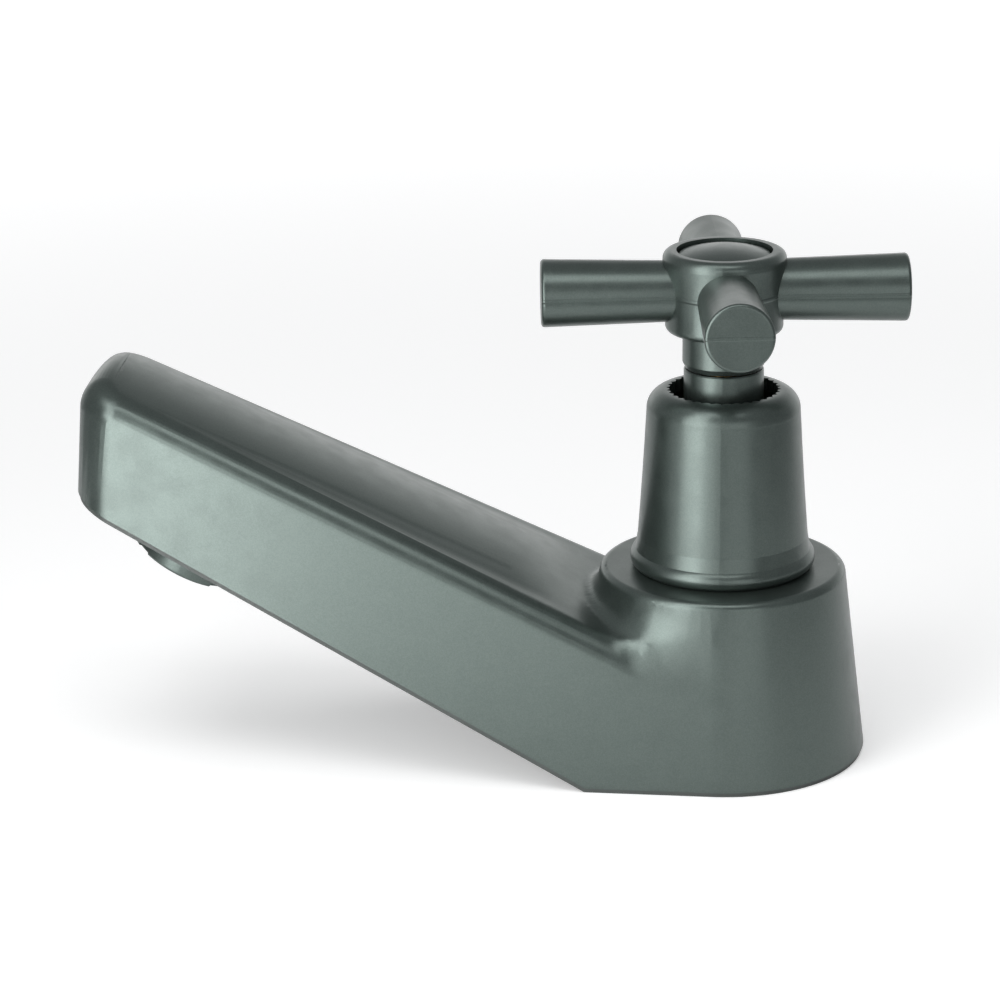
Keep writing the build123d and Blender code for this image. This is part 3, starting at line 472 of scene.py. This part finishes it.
@dataclass(frozen=True)
class MouldedPlastic:
    """Self-coloured plastic with a fine moulded grain."""

    colour: Colour = (0.78, 0.78, 0.75)
    worn: Colour = (0.70, 0.69, 0.65)
    roughness: Span = (0.34, 0.46)
    cloud: float = 9.0 * MM
    cloud_ends: Span = (0.35, 0.7)
    grain: float = 0.35 * MM
    grain_depth: float = 0.008 * MM

    def make(self, name: str) -> bpy.types.Material:
        """Builds the material.

        Args:
            name: Name of the material.

        Returns:
            The material.
        """
        graph = ShaderGraph(name)
        clouds = graph.noise(self.cloud, detail=3.0)
        grain = graph.noise(self.grain, detail=2.0)
        graph.paint(spread(graph.tree, clouds, (0.0, 1.0), self.cloud_ends), self.colour, self.worn)
        graph.polish(grain, self.roughness)
        graph.relief(grain, self.grain_depth)
        return graph.material


@dataclass(frozen=True)
class SealRubber:
    """Black rubber with a dusty bloom and a rough pressed face."""

    colour: Colour = (0.022, 0.022, 0.023)
    dusty: Colour = (0.060, 0.060, 0.058)
    bloom: float = 3.0 * MM
    bloom_ends: Span = (0.45, 0.8)
    roughness: Span = (0.55, 0.8)
    grain: float = 0.5 * MM
    grain_depth: float = 0.02 * MM

    def make(self, name: str) -> bpy.types.Material:
        """Builds the material.

        Args:
            name: Name of the material.

        Returns:
            The material.
        """
        graph = ShaderGraph(name)
        bloom = graph.noise(self.bloom, detail=5.0)
        graph.paint(spread(graph.tree, bloom, (0.0, 1.0), self.bloom_ends), self.colour, self.dusty)
        graph.polish(bloom, self.roughness, (0.0, 1.0))
        graph.relief(graph.noise(self.grain, detail=3.0), self.grain_depth)
        return graph.material


@dataclass(frozen=True)
class PressedFibre:
    """Red-brown vulcanised fibre, streaked by its layers."""

    colour: Colour = (0.30, 0.075, 0.045)
    streak: Colour = (0.42, 0.14, 0.08)
    roughness: float = 0.62
    layer: float = 0.6 * MM
    layer_stretch: Triple = (0.25, 0.25, 2.0)
    layer_depth: float = 0.01 * MM

    def make(self, name: str) -> bpy.types.Material:
        """Builds the material.

        Args:
            name: Name of the material.

        Returns:
            The material.
        """
        graph = ShaderGraph(name)
        layers = graph.noise(self.layer, detail=4.0, stretch=self.layer_stretch)
        graph.paint(layers, self.colour, self.streak)
        graph.constants(roughness=self.roughness)
        graph.relief(layers, self.layer_depth)
        return graph.material


class Finishes:
    """The materials of the whole tap, each made once."""

    def __init__(self) -> None:
        """Makes every material."""
        self.coat = SatinCoat().make("satin_coat")
        self.handle_coat = SatinCoat(seam=Seam.ARM_PLANE).make("satin_coat_with_mould_line")
        cover = MouldedPlastic(colour=(0.060, 0.070, 0.066), worn=(0.075, 0.086, 0.081))
        self.cover = cover.make("cover_plastic")
        self.brass = MachinedMetal().make("turned_brass")
        steel = MachinedMetal(colour=(0.62, 0.61, 0.59), shadow=(0.46, 0.45, 0.44))
        self.steel = steel.make("turned_steel")
        self.white = MouldedPlastic().make("white_plastic")
        black = MouldedPlastic(colour=(0.028, 0.028, 0.029), worn=(0.045, 0.045, 0.044))
        self.black = black.make("black_plastic")
        self.rubber = SealRubber().make("seal_rubber")
        self.fibre = PressedFibre().make("pressed_fibre")

    @staticmethod
    def dress(material: bpy.types.Material, *nodes: str) -> None:
        """Gives CAD nodes a material and smooth shading.

        Args:
            material: The material.
            nodes: Names of the CAD nodes.
        """
        for name in nodes:
            piece = frame["nodes"][name]
            piece.data.materials.clear()
            piece.data.materials.append(material)
            smooth(piece)
            LOG.info("dressed %s in %s", name, material.name)


@dataclass(frozen=True)
class ThreadStretch:
    """One stretch of an outside screw thread, in metres along Z."""

    crest: float
    start: float
    end: float
    pitch: float
    depth: float
    flank: float = 1.3              # steepness of the flanks
    crest_flat: float = 0.15        # how much of them the crest cuts off

    def radius(self, turn: float, z: float) -> float:
        """Gives the thread's radius at a point.

        Args:
            turn: Angle round the axis in radians.
            z: Height of the point.

        Returns:
            The radius in metres.
        """
        phase = (z / self.pitch - turn / math.tau) % 1.0
        sunk = clamp(abs(2.0 * phase - 1.0) * self.flank - self.crest_flat)
        run_out = clamp(min(z - self.start, self.end - z) / self.pitch)
        return self.crest - self.depth * sunk * run_out


@dataclass
class ThreadedPiece:
    """A CAD node copied with screw threads in place of its plain cylinders."""

    node: str
    stretches: list[ThreadStretch]
    columns: int = 72
    rows_per_pitch: int = 8
    least_rows: int = 4
    tolerance: float = 0.03 * MM
    level: float = 0.5              # upward share of a normal from which a face is no wall
    sharp_angle: float = 50.0

    def build(self, material: bpy.types.Material) -> bpy.types.Object:
        """Makes the piece and lets it stand for its node.

        Args:
            material: The piece's material.

        Returns:
            The new object.
        """
        mesh = bmesh.new()
        mesh.from_mesh(frame["nodes"][self.node].data)
        for stretch in self.stretches:
            self.remove_wall(mesh, stretch)
            self.add_thread(mesh, stretch)
        piece = new_piece(mesh, f"{self.node}_threaded", material)
        smooth(piece, self.sharp_angle)
        stand_for(piece, self.node)
        LOG.info("cut %d thread(s) on %s", len(self.stretches), self.node)
        return piece

    def remove_wall(self, mesh: bmesh.types.BMesh, stretch: ThreadStretch) -> None:
        """Takes away the plain wall where a thread goes.

        Args:
            mesh: The copied mesh.
            stretch: The thread's stretch.
        """
        def on_wall(vertex: bmesh.types.BMVert) -> bool:
            """Tells whether a vertex lies on the plain cylinder.

            Args:
                vertex: The vertex.

            Returns:
                Whether it does.
            """
            x, y, z = vertex.co
            inside = stretch.start - self.tolerance < z < stretch.end + self.tolerance
            return inside and abs(math.hypot(x, y) - stretch.crest) < self.tolerance

        wall = [face for face in mesh.faces
                if all(on_wall(vertex) for vertex in face.verts) and abs(face.normal.z) < self.level]
        bmesh.ops.delete(mesh, geom=wall, context="FACES")

    def add_thread(self, mesh: bmesh.types.BMesh, stretch: ThreadStretch) -> None:
        """Adds the threaded wall.

        Args:
            mesh: The copied mesh.
            stretch: The thread's stretch.
        """
        turns = (stretch.end - stretch.start) / stretch.pitch
        rows = max(self.least_rows, math.ceil(turns * self.rows_per_pitch))
        rings = []
        for row in range(rows + 1):
            z = stretch.start + (stretch.end - stretch.start) * row / rows
            ring = []
            for column in range(self.columns):
                turn = math.tau * column / self.columns
                radius = stretch.radius(turn, z)
                ring.append(mesh.verts.new((radius * math.cos(turn), radius * math.sin(turn), z)))
            rings.append(ring)
        for low, high in zip(rings, rings[1:]):
            for column in range(self.columns):
                following = (column + 1) % self.columns
                mesh.faces.new((low[column], low[following], high[following], high[column]))


@dataclass
class NotchBlend:
    """The wide soft blend between the spout's top and the tapering base, which thins out up the front."""

    top: "CrownedSpout"
    foot_radius: float = 25.0 * MM
    taper: float = 0.11677
    rim: float = 31.9 * MM
    side_normal: Triple = (0.9929, -0.0258, 0.116)
    side_place: float = 24.831 * MM
    edge_radius: float = 4.2 * MM
    reach: float = 8.5 * MM
    least: float = 0.3 * MM
    wide_at: float = 3.5 * MM
    skin: float = 0.6 * MM
    low: Triple = (-25.5 * MM, -34.0 * MM, 9.0 * MM)
    high: Triple = (25.5 * MM, 2.0 * MM, 31.9 * MM)
    step: float = 0.8 * MM
    rounds: int = 6
    soft_reach: float = 9.0 * MM
    rim_clear: float = 2.0 * MM
    soft_rounds: int = 16
    soft_pull: float = 0.5
    probe: float = 0.02 * MM        # half the distance over which a slope is measured
    least_slope: float = 0.2

    def distances(self, point: Vector) -> tuple[float, float, float]:
        """Measures a point against the top and the base.

        Args:
            point: The point.

        Returns:
            The distance above the spout's top, the distance outside the base, and how much of the blend's
            surface is the top's there, from 0 to 1.
        """
        top = -self.top.depth(point) - self.top.crown_height(point)
        top /= math.hypot(1.0, self.top.top_slope)
        base = math.hypot(point.x, point.y) - self.foot_radius + self.taper * point.z
        share = clamp(0.5 + 0.5 * (base - top) / self.room(point))
        return top, base, share

    def room(self, point: Vector) -> float:
        """Gives the blend's width, which is less under the base's rim and towards the base's side.

        Args:
            point: The point.

        Returns:
            The width in metres.
        """
        under_rim = self.rim - self.top.top_at_axis + self.top.top_slope * point.y
        opening = ease(clamp(-point.y / self.wide_at))
        return max(min(under_rim, self.reach) * opening, self.least)

    def outside(self, point: Vector, blended: bool = True) -> float:
        """Tells how far a point lies outside the shell.

        Args:
            point: The point.
            blended: Whether the shell has the blend.

        Returns:
            The distance in metres, negative inside.
        """
        top, base, share = self.distances(point)
        radius = self.edge_radius
        if blended:
            radius *= share
            top = base + (top - base) * share - self.room(point) * share * (1.0 - share)
        across, along, up = self.side_normal
        side = across * abs(point.x) + along * point.y + up * point.z - self.side_place + radius
        top += radius
        spout = min(max(top, side), 0.0) + math.hypot(max(top, 0.0), max(side, 0.0)) - radius
        return min(spout, base)

    def slope(self, point: Vector) -> Vector:
        """Gives the direction in which a point leaves the blended shell fastest.

        Args:
            point: The point.

        Returns:
            The direction, about 1 long.
        """
        steps = [axis * self.probe for axis in AXES]
        return Vector([(self.outside(point + step) - self.outside(point - step)) / (2.0 * self.probe)
                       for step in steps])

    def within(self, point: Vector) -> bool:
        """Tells whether a point lies in the box round the notch."""
        return all(low < value < high for low, value, high in zip(self.low, point, self.high))

    def picked(self, mesh: bmesh.types.BMesh) -> list[bmesh.types.BMFace]:
        """Picks the faces of the outside round the notch.

        Args:
            mesh: The copied mesh.

        Returns:
            The faces.
        """
        faces = []
        for face in mesh.faces:
            middle = face.calc_center_median()
            near = self.within(middle) or any(self.within(vertex.co) for vertex in face.verts)
            if near and self.outside(middle, False) > -self.skin:
                faces.append(face)
        return faces

    def apply(self, mesh: bmesh.types.BMesh) -> None:
        """Divides the outside round the notch and moves it onto the blend.

        Args:
            mesh: The copied mesh.
        """
        geometry = with_corners(self.picked(mesh))
        for axis, ends in zip(AXES, zip(self.low, self.high)):
            geometry = divide(mesh, geometry, axis, ends, self.step)
        points = [item for item in geometry if isinstance(item, bmesh.types.BMVert)]
        inside = [vertex for vertex in points if self.within(vertex.co)]
        for vertex in inside:
            self.move(vertex)
        self.soften(inside)

    def soften(self, vertices: list[bmesh.types.BMVert]) -> None:
        """Evens the blend out, most where it is nearest to both the top and the base.

        Args:
            vertices: The points of the outside round the notch.
        """
        weights = {}
        for vertex in vertices:
            top, base, _ = self.distances(vertex.co)
            near_top, near_base = 1.0 - abs(top) / self.soft_reach, 1.0 - abs(base) / self.soft_reach
            under_rim = (self.rim - vertex.co.z) / self.rim_clear
            near_both = clamp(min(near_top * 2.0, near_base * 2.0, under_rim))
            weights[vertex] = near_both * self.soft_pull
        for _ in range(self.soft_rounds):
            places = {}
            for vertex, weight in weights.items():
                around = [edge.other_vert(vertex).co for edge in vertex.link_edges]
                places[vertex] = vertex.co.lerp(sum(around, Vector()) / len(around), weight)
            for vertex, place in places.items():
                vertex.co = place

    def join(self, data: bpy.types.Mesh) -> None:
        """Shades the outside round the notch as one smooth face, without creases.

        Args:
            data: The finished mesh.
        """
        inside = self.blended_points(data)
        for edge in data.edges:
            if all(inside[index] for index in edge.vertices):
                edge.use_edge_sharp = False

    def even_normals(self, data: bpy.types.Mesh) -> None:
        """Gives each point of the outside round the notch the normal of the faces at it, by their area.

        Args:
            data: The finished mesh, whose other normals stay.
        """
        inside = self.blended_points(data)
        normals = [Vector() for _ in data.vertices]
        for face in data.polygons:
            for index in face.vertices:
                normals[index] += face.normal * face.area
        data.normals_split_custom_set([
            normals[corner.vertex_index].normalized() if inside[corner.vertex_index] else kept.vector.copy()
            for corner, kept in zip(data.loops, data.corner_normals)
        ])

    def blended_points(self, data: bpy.types.Mesh) -> list[bool]:
        """Tells which points of a mesh lie on the outside round the notch.

        Args:
            data: The finished mesh.

        Returns:
            One answer for each point.
        """
        below = self.rim - self.skin
        return [self.within(vertex.co) and vertex.co.z < below and self.outside(vertex.co) > -self.skin
                for vertex in data.vertices]

    def move(self, vertex: bmesh.types.BMVert) -> None:
        """Moves a point onto the blend, where the blend reaches it.

        Args:
            vertex: The point.
        """
        for _ in range(self.rounds):
            if 0.0 < self.distances(vertex.co)[2] < 1.0:
                slope = self.slope(vertex.co)
                steep = max(slope.length_squared, self.least_slope)
                vertex.co -= slope * (self.outside(vertex.co) / steep)


@dataclass
class CrownedSpout:
    """The shell with the spout's top crowned across its width, its long edges left where they are."""

    node: str = "body_shell"
    rise: float = 1.2 * MM
    top_at_axis: float = 17.7 * MM
    top_slope: float = 0.469
    half_width: float = 15.07 * MM
    half_width_lost: float = 0.0407
    starts: float = 23.0 * MM
    full: float = 36.0 * MM
    end_wall: float = 100.0 * MM
    flat_depth: float = 0.03 * MM
    band: float = 9.0 * MM
    lip: float = 2.5 * MM
    edge_depth: float = 4.3 * MM
    top_up: float = 0.5             # least upward share of a normal on the top
    rounding_up: float = 0.2        # the same on the roundings along it
    end_up: float = -0.3            # the same on the end wall's rounding
    end_back: float = 0.3           # most backward share of a normal there
    step: float = 1.2 * MM
    weld: float = 0.001 * MM

    def depth(self, point: Vector) -> float:
        """Tells how far below the spout's flat top a point lies, in metres along Z."""
        return self.top_at_axis - self.top_slope * point.y - point.z

    def crown_height(self, point: Vector) -> float:
        """Tells how high the crowned top stands over the flat one.

        Args:
            point: A point of the top.

        Returns:
            The height in metres.
        """
        half = self.half_width + self.half_width_lost * point.y
        across = abs(point.x) / half
        beyond = clamp((abs(point.x) - half) / self.lip)
        crown = max(1.0 - across * across, 0.0) + self.lip / half * (1.0 - beyond) ** 2
        along = clamp((-point.y - self.starts) / (self.full - self.starts))
        return self.rise * crown * ease(along)

    def outside(self, mesh: bmesh.types.BMesh, edges: bool) -> list[bmesh.types.BMFace]:
        """Picks the faces of the spout's top and of the rounding above its end wall.

        Args:
            mesh: The copied mesh.
            edges: Whether the roundings along the top's two long edges come too.

        Returns:
            The faces.
        """
        picked = []
        for face in mesh.faces:
            reach = max(-vertex.co.y for vertex in face.verts)
            depths = [abs(self.depth(vertex.co)) for vertex in face.verts]
            up = face.normal.z
            past_base = reach > self.starts
            on_top = past_base and up > self.top_up and max(depths) < self.flat_depth
            rounded = past_base and edges and up > self.rounding_up and max(depths) < self.edge_depth
            at_end = up > self.end_up and face.normal.y < self.end_back and min(depths) < self.band
            if on_top or rounded or (at_end and reach > self.end_wall):
                picked.append(face)
        return picked

    def raise_top(self, mesh: bmesh.types.BMesh) -> None:
        """Divides the spout's top finely enough and crowns it.

        Args:
            mesh: The copied mesh.
        """
        across, along = AXES[:2]
        flat = with_corners(self.outside(mesh, False))
        divide(mesh, flat, across, (self.half_width, -self.half_width), self.step)
        rounded = with_corners(self.outside(mesh, True))
        divide(mesh, rounded, along, (-self.starts, -self.full), self.step)
        for vertex in dict.fromkeys(vertex for face in self.outside(mesh, True) for vertex in face.verts):
            down = clamp(1.0 - self.depth(vertex.co) / self.band)
            vertex.co.z += self.crown_height(vertex.co) * down

    def build(self, material: bpy.types.Material) -> bpy.types.Object:
        """Makes the crowned copy and lets it stand for its node.

        Args:
            material: The shell's material.

        Returns:
            The new object.
        """
        blend = NotchBlend(self)
        mesh = bmesh.new()
        mesh.from_mesh(frame["nodes"][self.node].data)
        bmesh.ops.remove_doubles(mesh, verts=mesh.verts, dist=self.weld)
        self.raise_top(mesh)
        blend.apply(mesh)
        bmesh.ops.triangulate(mesh, faces=[face for face in mesh.faces if len(face.verts) > 4])
        piece = new_piece(mesh, "crowned_shell", material)
        smooth(piece)
        blend.join(piece.data)
        weigh_normals(piece)
        blend.even_normals(piece.data)
        stand_for(piece, self.node)
        LOG.info("crowned the top of %s, which now has %d faces", self.node, len(piece.data.polygons))
        return piece


@dataclass
class ShellAssembly:
    """The moulded base and spout, and the plate that closes it from below."""

    finishes: Finishes

    def build(self) -> None:
        """Crowns the spout and dresses the shell and its plate."""
        CrownedSpout().build(self.finishes.coat)
        self.finishes.dress(self.finishes.cover, "underside_cover")


@dataclass
class Waterway:
    """The brass valve body with its threaded shank, the seat, the tube and the outlet elbow."""

    finishes: Finishes
    shank: list[ThreadStretch] = field(default_factory=lambda: [
        ThreadStretch(crest=10.48 * MM, start=-44.0 * MM, end=-27.0 * MM, pitch=1.814 * MM, depth=0.95 * MM),
        ThreadStretch(crest=10.48 * MM, start=-25.5 * MM, end=0.0, pitch=1.814 * MM, depth=0.95 * MM),
    ])

    def build(self) -> None:
        """Threads the shank and dresses the water's way to the outlet."""
        ThreadedPiece("valve_body", self.shank).build(self.finishes.brass)
        self.finishes.dress(self.finishes.steel, "valve_seat")
        self.finishes.dress(self.finishes.white, "waterway_tube", "outlet_elbow")
        self.finishes.dress(self.finishes.rubber, "tube_seals")


@dataclass
class Aerator:
    """The outlet's housing with key slots, its grid and washer."""

    finishes: Finishes

    def build(self) -> None:
        """Dresses the aerator."""
        self.finishes.dress(self.finishes.coat, "aerator_housing")
        self.finishes.dress(self.finishes.white, "aerator_insert")
        self.finishes.dress(self.finishes.rubber, "aerator_washer")


@dataclass
class DeckFixings:
    """What clamps the tap to the basin."""

    finishes: Finishes

    def build(self) -> None:
        """Dresses the gasket, washer and nut."""
        self.finishes.dress(self.finishes.rubber, "base_gasket")
        self.finishes.dress(self.finishes.black, "shank_washer", "back_nut")


@dataclass
class Headwork:
    """The brass bonnet, the spindle that turns in it and the carrier that climbs the spindle's thread."""

    finishes: Finishes
    bonnet: list[ThreadStretch] = field(default_factory=lambda: [
        ThreadStretch(crest=9.5 * MM, start=20.5 * MM, end=34.4 * MM, pitch=1.337 * MM, depth=0.7 * MM),
        ThreadStretch(crest=11.8 * MM, start=40.0 * MM, end=45.0 * MM, pitch=1.0 * MM, depth=0.5 * MM),
    ])
    spindle: list[ThreadStretch] = field(default_factory=lambda: [
        ThreadStretch(crest=3.8 * MM, start=24.6 * MM, end=46.3 * MM, pitch=2.0 * MM, depth=0.7 * MM),
    ])
    washer_screw: list[ThreadStretch] = field(default_factory=lambda: [
        ThreadStretch(crest=1.95 * MM, start=8.0 * MM, end=16.0 * MM, pitch=0.7 * MM, depth=0.3 * MM),
    ])

    def build(self) -> None:
        """Threads and dresses the headwork."""
        ThreadedPiece("headwork_bonnet", self.bonnet).build(self.finishes.brass)
        ThreadedPiece("spindle", self.spindle, columns=48).build(self.finishes.brass)
        ThreadedPiece("washer_screw", self.washer_screw, columns=36).build(self.finishes.steel)
        self.finishes.dress(self.finishes.brass, "valve_carrier")
        self.finishes.dress(self.finishes.steel, "spindle_clip")
        self.finishes.dress(self.finishes.rubber, "seat_washer", "spindle_seals")
        self.finishes.dress(self.finishes.fibre, "bonnet_washer")


@dataclass
class Dress:
    """The bell over the headwork and the sleeve in its mouth."""

    finishes: Finishes

    def build(self) -> None:
        """Dresses the bell and the sleeve."""
        self.finishes.dress(self.finishes.coat, "bell_shroud", "neck_sleeve")


@dataclass
class Handle:
    """The cross handle, its screw and the cap over the screw."""

    finishes: Finishes
    screw: list[ThreadStretch] = field(default_factory=lambda: [
        ThreadStretch(crest=1.95 * MM, start=70.9 * MM, end=82.9 * MM, pitch=0.7 * MM, depth=0.3 * MM),
    ])

    def build(self) -> None:
        """Threads the screw and dresses the handle."""
        ThreadedPiece("handle_screw", self.screw, columns=36).build(self.finishes.steel)
        self.finishes.dress(self.finishes.handle_coat, "cross_handle")
        self.finishes.dress(self.finishes.coat, "index_cap")


@dataclass(frozen=True)
class SoftBox:
    """A rectangular studio light, hung on a sphere round the tap and turned to its middle."""

    name: str
    turn: float
    elevation: float
    width: float
    height: float
    radiance: float
    distance: float = 1.0
    aim: Triple = (0.0, -0.03, 0.045)
    in_reflections: bool = True

    def build(self) -> bpy.types.Object:
        """Hangs the light.

        The turn is measured in degrees from +X, the photograph's side, towards +Y.

        Returns:
            The light object.
        """
        lamp = bpy.data.lights.new(self.name, "AREA")
        lamp.shape = "RECTANGLE"
        lamp.size = self.width
        lamp.size_y = self.height
        lamp.energy = self.radiance * math.pi * self.width * self.height
        light = bpy.data.objects.new(self.name, lamp)
        turn, elevation = math.radians(self.turn), math.radians(self.elevation)
        level = math.cos(elevation)
        outward = Vector((math.cos(turn) * level, math.sin(turn) * level, math.sin(elevation)))
        light.location = Vector(self.aim) + outward * self.distance
        light.rotation_euler = outward.to_track_quat("Z", "Y").to_euler()
        light.visible_camera = False
        light.visible_glossy = self.in_reflections
        bpy.context.scene.collection.objects.link(light)
        LOG.info("hung %s at %.1f W", self.name, lamp.energy)
        return light


@dataclass(frozen=True)
class PhotoCamera:
    """A camera at the photograph's place: from beside the tap, a little above it and turned to its middle."""

    lens: float = 115.2
    sensor: float = 36.0
    azimuth: float = 91.8
    distance: float = 0.5227
    height: float = 0.2197
    yaw: float = 4.20
    pitch: float = 18.49
    roll: float = 0.90
    sight: Span = (0.01, 30.0)

    def build(self) -> bpy.types.Object:
        """Sets the camera up.

        Returns:
            The camera object.
        """
        data = bpy.data.cameras.new("photo_camera")
        data.lens = self.lens
        data.sensor_width = self.sensor
        data.clip_start, data.clip_end = self.sight
        camera = bpy.data.objects.new("photo_camera", data)
        round_tap = Matrix.Rotation(math.radians(self.azimuth), 4, "Z")
        stand = Matrix.Translation((0.0, -self.distance, self.height))
        head = (Matrix.Rotation(math.radians(self.yaw), 4, "Z")
                @ Matrix.Rotation(math.radians(-self.pitch), 4, "X")
                @ Matrix.Rotation(math.radians(self.roll), 4, "Y"))
        level = Matrix.Rotation(math.radians(90.0), 4, "X")
        camera.matrix_world = round_tap @ stand @ head @ level
        bpy.context.scene.collection.objects.link(camera)
        bpy.context.scene.camera = camera
        return camera


@dataclass
class Studio:
    """The pale floor, the white surround, the lights and the camera."""

    floor_x: Span = (-1.2, 0.13)
    floor_y: Span = (-0.40, 0.20)
    far_floor_x: Span = (-1.6, 1.6)
    far_floor_y: Span = (-1.6, 1.6)
    floor_step: float = 0.03 * MM
    floor_colour: Colour = (0.86, 0.86, 0.86)
    floor_lift: Span = (0.30, 0.75)
    floor_lift_ends: Span = (0.2, 0.9)
    floor_in_metal: float = 0.05
    room: Colour = (0.245, 0.25, 0.255)
    backdrop: Colour = (1.0, 1.0, 1.0)
    backdrop_edges: dict[str, Span] = field(default_factory=lambda: {"X": (-0.40, -0.90), "Z": (0.66, 0.14)})
    boxes: list[SoftBox] = field(default_factory=lambda: [
        SoftBox("key_box", turn=-74.0, elevation=6.0, width=0.15, height=0.46, radiance=3.5,
                distance=0.15, aim=(0.149, -0.006, 0.075)),
        SoftBox("side_box", turn=-17.0, elevation=-3.0, width=0.22, height=0.40, radiance=1.6, distance=0.42),
        SoftBox("fill_box", turn=24.0, elevation=4.0, width=0.62, height=0.60, radiance=0.85, distance=1.0),
        SoftBox("top_box", turn=-10.0, elevation=67.0, width=1.00, height=0.46, radiance=2.0, distance=1.1),
        SoftBox("ceiling_box", turn=0.0, elevation=90.0, width=1.60, height=1.60, radiance=1.2,
                distance=1.5, in_reflections=False),
    ])

    def build(self) -> None:
        """Sets the studio up around the tap."""
        self.make_floor()
        self.make_surround()
        for box in self.boxes:
            box.build()
        PhotoCamera().build()
        bpy.context.scene.view_settings.view_transform = "Standard"

    @staticmethod
    def seen_in_tap(tree: bpy.types.NodeTree) -> bpy.types.NodeSocket:
        """Tells rays that show the background in the tap's gloss from all others.

        Args:
            tree: The node tree of the floor or the world.

        Returns:
            A socket that is 1 for glossy and transmission rays and 0 for the others.
        """
        path = tree.nodes.new("ShaderNodeLightPath")
        return calculate(tree, "MAXIMUM", path.outputs["Is Glossy Ray"], path.outputs["Is Transmission Ray"])

    @staticmethod
    def lay_sheet(name: str, across: Span, along: Span, height: float,
                  material: bpy.types.Material) -> bpy.types.Object:
        """Lays one flat sheet.

        Args:
            name: The sheet's name.
            across: Its ends along X, in metres.
            along: Its ends along Y.
            height: Its place along Z.
            material: What it is painted with.

        Returns:
            The new object.
        """
        (left, right), (front, back) = across, along
        corners = [(x, y, height) for x, y in ((left, front), (right, front), (right, back), (left, back))]
        data = bpy.data.meshes.new(name)
        data.from_pydata(corners, [], [(0, 1, 2, 3)])
        data.materials.append(material)
        sheet = bpy.data.objects.new(name, data)
        bpy.context.scene.collection.objects.link(sheet)
        return sheet

    def make_floor(self) -> None:
        """Lays the floor, and a wider sheet under it that only the camera sees."""
        material = self.floor_paint()
        self.lay_sheet("studio_floor", self.floor_x, self.floor_y, 0.0, material)
        height = -self.floor_step
        wide = self.lay_sheet("studio_floor_far", self.far_floor_x, self.far_floor_y, height, material)
        wide.visible_diffuse = False
        wide.visible_glossy = False
        wide.visible_transmission = False
        wide.visible_shadow = False

    def floor_paint(self) -> bpy.types.Material:
        """Makes the floor's material, which shows white where it isn't in shadow.

        Returns:
            The material.
        """
        material = bpy.data.materials.new("studio_floor")
        material.use_nodes = True
        tree = material.node_tree
        tree.nodes.clear()
        output = tree.nodes.new("ShaderNodeOutputMaterial")
        paint = tree.nodes.new("ShaderNodeBsdfDiffuse")
        paint.inputs["Color"].default_value = (*self.floor_colour, 1.0)
        glow = tree.nodes.new("ShaderNodeEmission")
        place = tree.nodes.new("ShaderNodeTexCoord")
        distance = tree.nodes.new("ShaderNodeVectorMath")
        distance.operation = "LENGTH"
        tree.links.new(place.outputs["Object"], distance.inputs[0])
        fade = spread(tree, distance.outputs["Value"], self.floor_lift, self.floor_lift_ends)
        path = tree.nodes.new("ShaderNodeLightPath")
        to_camera = calculate(tree, "MULTIPLY", path.outputs["Is Camera Ray"], fade)
        lift = calculate(tree, "MULTIPLY_ADD", self.seen_in_tap(tree), self.floor_in_metal, to_camera)
        tree.links.new(lift, glow.inputs["Strength"])
        both = tree.nodes.new("ShaderNodeAddShader")
        tree.links.new(paint.outputs["BSDF"], both.inputs[0])
        tree.links.new(glow.outputs["Emission"], both.inputs[1])
        tree.links.new(both.outputs["Shader"], output.inputs["Surface"])
        return material

    def make_surround(self) -> None:
        """Makes the world: a dim room that lights the tap, with a white backdrop behind it."""
        world = bpy.data.worlds.new("studio_surround")
        bpy.context.scene.world = world
        world.use_nodes = True
        tree = world.node_tree
        tree.nodes.clear()
        output = tree.nodes.new("ShaderNodeOutputWorld")
        room = tree.nodes.new("ShaderNodeBackground")
        room.inputs["Color"].default_value = (*self.room, 1.0)
        white = tree.nodes.new("ShaderNodeBackground")
        white.inputs["Color"].default_value = (*self.backdrop, 1.0)
        path = tree.nodes.new("ShaderNodeLightPath")
        direction = tree.nodes.new("ShaderNodeTexCoord")
        split = tree.nodes.new("ShaderNodeSeparateXYZ")
        tree.links.new(direction.outputs["Generated"], split.inputs["Vector"])
        shown = self.seen_in_tap(tree)
        for axis, ends in self.backdrop_edges.items():
            edge = spread(tree, split.outputs[axis], (0.0, 1.0), ends)
            shown = calculate(tree, "MULTIPLY", shown, edge)
        mix = tree.nodes.new("ShaderNodeMixShader")
        tree.links.new(calculate(tree, "MAXIMUM", shown, path.outputs["Is Camera Ray"]), mix.inputs["Fac"])
        tree.links.new(room.outputs["Background"], mix.inputs[1])
        tree.links.new(white.outputs["Background"], mix.inputs[2])
        tree.links.new(mix.outputs["Shader"], output.inputs["Surface"])


def main() -> None:
    """Builds the tap, sub-assembly by sub-assembly, and the studio round it."""
    logging.basicConfig(level=logging.INFO, format="%(name)s: %(message)s")
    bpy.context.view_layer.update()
    finishes = Finishes()
    for part in (ShellAssembly, Waterway, Aerator, DeckFixings, Headwork, Dress, Handle):
        part(finishes).build()
        LOG.info("%s is in place", part.__name__)
    Studio().build()


if __name__ == "__main__":
    main()
